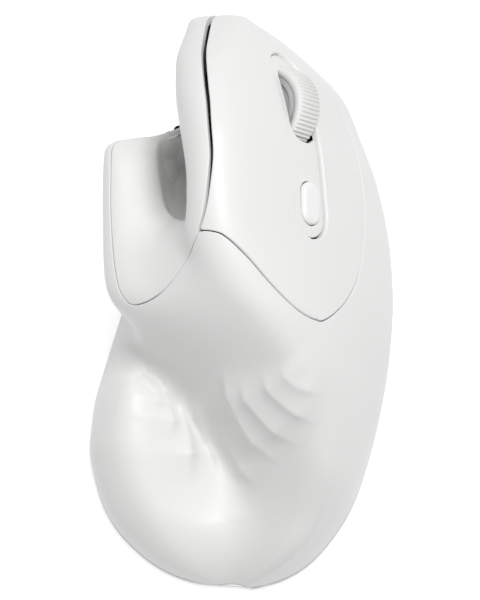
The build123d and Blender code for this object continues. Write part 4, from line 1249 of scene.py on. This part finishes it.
@dataclass
class Wheel:
    """The scroll wheel: a silicone tyre with cross ribs."""

    form: MouseForm
    finisher: Finisher
    place: tuple[float, float] = (-27.9, 37.6)
    radius: float = 9.5
    width: float = 6.8
    proud: float = 2.9
    rib_count: int = 62
    rib_depth: float = 0.3
    bore: float = 7.22

    def stand(self) -> Matrix:
        """Turns the wheel's own frame into the shared frame, its axis down the slope."""
        height = self.form.slope_height(*self.place) + self.proud - self.radius
        middle = (slope_point(self.place[0], self.place[1], height) - CENTRE) * MM
        axis, up = Vector(SLOPE_S), Vector(SLOPE_H)
        side = axis.cross(up)
        turn = Matrix((up, side, axis)).transposed().to_4x4()
        return Matrix.Translation(Vector(middle)) @ turn

    def rib(self) -> bpy.types.Object:
        """One rib, lying across the tread, rounded on top and at its ends."""
        half, thick = self.width / 2 - 0.25, 0.27
        rings = [(-half, -0.45, 0.5), (-half + 0.05, -0.12, 0.8), (-half + 0.5, 0.0, 1.0), (0.0, 0.05, 1.0),
                 (half - 0.5, 0.0, 1.0), (half - 0.05, -0.12, 0.8), (half, -0.45, 0.5)]
        section = [(-self.rib_depth - 0.3, -thick), (-0.12, -thick), (-0.02, -thick * 0.55), (0.0, 0.0),
                   (-0.02, thick * 0.55), (-0.12, thick), (-self.rib_depth - 0.3, thick)]
        points = []
        for z, lift, share in rings:
            for depth, side in section:
                points.append(((depth + (lift if depth > -0.5 else 0)) * MM, side * share * MM, z * MM))
        count = len(section)
        faces = ring_quads(len(rings), count)
        faces.append(list(range(count - 1, -1, -1)))
        faces.append([(len(rings) - 1) * count + j for j in range(count)])
        return link_mesh("rib", points, faces)

    def build(self) -> list[bpy.types.Object]:
        """Builds the tyre and its ribs."""
        tread, half = self.radius - self.rib_depth, self.width / 2
        profile = [(self.bore, -half), (tread - 0.5, -half), (tread - 0.15, -half + 0.12), (tread, -half + 0.5),
                   (tread, half - 0.5), (tread - 0.15, half - 0.12), (tread - 0.5, half), (self.bore, half)]
        tyre = turned("wheel_tread", [(r * MM, z * MM) for r, z in profile], 132)
        ribs = Repeater("wheel_ribs").run(self.rib(), self.finisher.materials[Slot.TYRE], None, self.rib_count,
                                          self.radius * MM)
        for piece in (tyre, ribs):
            piece.data.transform(self.stand())
            self.finisher.dress(piece, Slot.TYRE)
            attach(piece, "wheel")
        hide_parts("wheel_tyre")
        return [tyre, ribs]


@dataclass
class BaseScrews:
    """The four countersunk screws of the base plate."""

    finisher: Finisher
    places: tuple[tuple[float, float], ...] = ((-25, -32), (24.5, -27), (22.8, 34), (-20.8, 9))
    head_z: float = 0.9
    head_radius: float = 2.3
    shank_radius: float = 1.08
    shank_top: float = 9.0

    def screw(self) -> bpy.types.Object:
        """One pan-head screw with a cross recess, its head down."""
        steps = 32
        rings = [(0.0, 0.45), (0.35, 0.4), (1.2, 0.02), (1.9, 0.05), (2.2, 0.18), (self.head_radius, 0.45),
                 (self.shank_radius, 0.5), (self.shank_radius, self.shank_top - self.head_z - 0.4), (0.0, 8.1)]
        points: list[tuple[float, float, float]] = [(0.0, 0.0, rings[0][1] * MM)]
        for k, (radius, z) in enumerate(rings[1:-1]):
            for j in range(steps):
                angle = 2 * math.pi * j / steps
                arm = max(abs(math.cos(2 * angle)) - 0.55, 0) / 0.45
                depth = 0.4 * arm if k == 1 else 0.0
                points.append((radius * math.cos(angle) * MM, radius * math.sin(angle) * MM, (z + depth) * MM))
        points.append((0.0, 0.0, rings[-1][1] * MM))
        faces: list[tuple[int, ...]] = [(0, 1 + (j + 1) % steps, 1 + j) for j in range(steps)]
        faces += ring_quads(len(rings) - 2, steps, 1)
        a, tip = 1 + (len(rings) - 3) * steps, len(points) - 1
        faces += [(a + j, a + (j + 1) % steps, tip) for j in range(steps)]
        return link_mesh("screw", points, faces, False)

    def build(self) -> bpy.types.Object:
        """Builds the set."""
        spots = (np.array([(x, y, self.head_z) for x, y in self.places]) - CENTRE) * MM
        screws = Repeater("base_screw_set").run(self.screw(), self.finisher.materials[Slot.STEEL], spots)
        self.finisher.dress(screws, Slot.STEEL)
        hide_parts("base_screws")
        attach(screws, "housing")
        return screws


@dataclass
class Studio:
    """Floor, light and camera."""

    pixels_per_mm: float = 4.59
    elevation: float = 76.0
    picture_height: int = 600
    middle_up_mm: float = 24 / 4.59
    floor_half: float = 3.0
    floor_z: float = -0.0002
    # Strength of the sky's light, of the floor's own light, and the lamp's place, power and size
    sky: float = 0.45
    floor_light: float = 0.62
    lamp_place: tuple[float, float, float] = (0.13, 0.14, 1.0)
    lamp_power: float = 5.9
    lamp_size: float = 0.3

    def floor(self) -> bpy.types.Object:
        """A pale floor that shows white to the camera and keeps the shadow."""
        half, z = self.floor_half, self.floor_z
        made = link_mesh("floor", [(-half, -half, z), (half, -half, z), (half, half, z), (-half, half, z)],
                         [(0, 1, 2, 3)], False)
        material, tree, _ = new_material("studio_floor")
        rays = add_node(tree, "ShaderNodeLightPath")
        seen = add_node(tree, "ShaderNodeMath", {"operation": "MAXIMUM"},
                        {0: rays.outputs["Is Camera Ray"], 1: rays.outputs["Is Glossy Ray"]})
        seen = add_node(tree, "ShaderNodeMath", {"operation": "MAXIMUM"},
                        {0: seen.outputs["Value"], 1: rays.outputs["Is Transmission Ray"]})
        matt = add_node(tree, "ShaderNodeBsdfDiffuse", None, {"Color": srgb("#ededed")})
        light = add_node(tree, "ShaderNodeEmission", None, {"Color": (1, 1, 1, 1), "Strength": self.floor_light})
        both = add_node(tree, "ShaderNodeAddShader", None, {0: matt.outputs["BSDF"], 1: light.outputs["Emission"]})
        shown = add_node(tree, "ShaderNodeMixShader", None,
                         {0: seen.outputs["Value"], 1: matt.outputs["BSDF"], 2: both.outputs["Shader"]})
        add_node(tree, "ShaderNodeOutputMaterial", None, {"Surface": shown.outputs["Shader"]})
        made.data.materials.append(material)
        return made

    def world(self) -> None:
        """Even pale light from all round, white where the camera sees past the floor."""
        world = bpy.data.worlds.new("studio")
        bpy.context.scene.world = world
        world.use_nodes = True
        tree = world.node_tree
        tree.nodes.clear()
        rays = add_node(tree, "ShaderNodeLightPath")
        strength = add_node(tree, "ShaderNodeMix", None, {0: rays.outputs["Is Camera Ray"], 2: self.sky, 3: 1.0})
        sky = add_node(tree, "ShaderNodeBackground", None,
                       {"Color": (1, 1, 1, 1), "Strength": strength.outputs[0]})
        add_node(tree, "ShaderNodeOutputWorld", None, {"Surface": sky.outputs["Background"]})

    def lamp(self) -> None:
        """One square soft lamp, aimed at the mouse."""
        data = bpy.data.lights.new("key", "AREA")
        data.energy = self.lamp_power
        data.size = self.lamp_size
        made = bpy.data.objects.new("key", data)
        made.location = self.lamp_place
        made.rotation_euler = (Vector((0, 0, 0.03)) - Vector(self.lamp_place)).to_track_quat("-Z", "Y").to_euler()
        bpy.context.scene.collection.objects.link(made)

    def camera(self) -> None:
        """The photograph's view: from above, a little behind, with no perspective."""
        data = bpy.data.cameras.new("camera")
        data.type = "ORTHO"
        data.ortho_scale = self.picture_height / self.pixels_per_mm * MM
        data.clip_end = 10
        turn = math.radians(self.elevation)
        up = Vector((0, math.sin(turn), math.cos(turn)))
        back = Vector((0, -math.cos(turn), math.sin(turn)))
        target = (up * self.middle_up_mm - Vector(CENTRE)) * MM
        made = bpy.data.objects.new("camera", data)
        made.location = target + back * 0.8
        made.rotation_euler = (math.pi / 2 - turn, 0, 0)
        bpy.context.scene.collection.objects.link(made)
        bpy.context.scene.camera = made

    def build(self) -> None:
        """Sets the stage."""
        bpy.context.scene.view_settings.view_transform = "Standard"
        self.floor()
        self.world()
        self.lamp()
        self.camera()


def report(step: Callable[[], Any]) -> None:
    """Runs one step and logs the pieces that it made."""
    made = step()
    for piece in made if isinstance(made, list) else [made]:
        if piece is not None:
            LOG.info("%s: %d faces", piece.name, len(piece.data.polygons))


def main() -> None:
    """Builds the mouse's looks in order."""
    logging.basicConfig(level=logging.INFO, format="%(name)s: %(message)s")
    form = MouseForm()
    finisher = Finisher()
    finisher.dress_nodes()
    console = Console(form, finisher)
    cover = KeyCover(form, finisher, console)
    steps: Iterable[Callable[[], Any]] = (
        Housing(form, finisher).build,
        ThumbPanel(form, finisher).build,
        lambda: cover.build(Side.LEFT),
        lambda: cover.build(Side.RIGHT),
        console.build_strip,
        console.build_pill,
        Wheel(form, finisher).build,
        BaseScrews(finisher).build,
        Studio().build,
    )
    for step in steps:
        report(step)


if __name__ == "__main__":
    main()
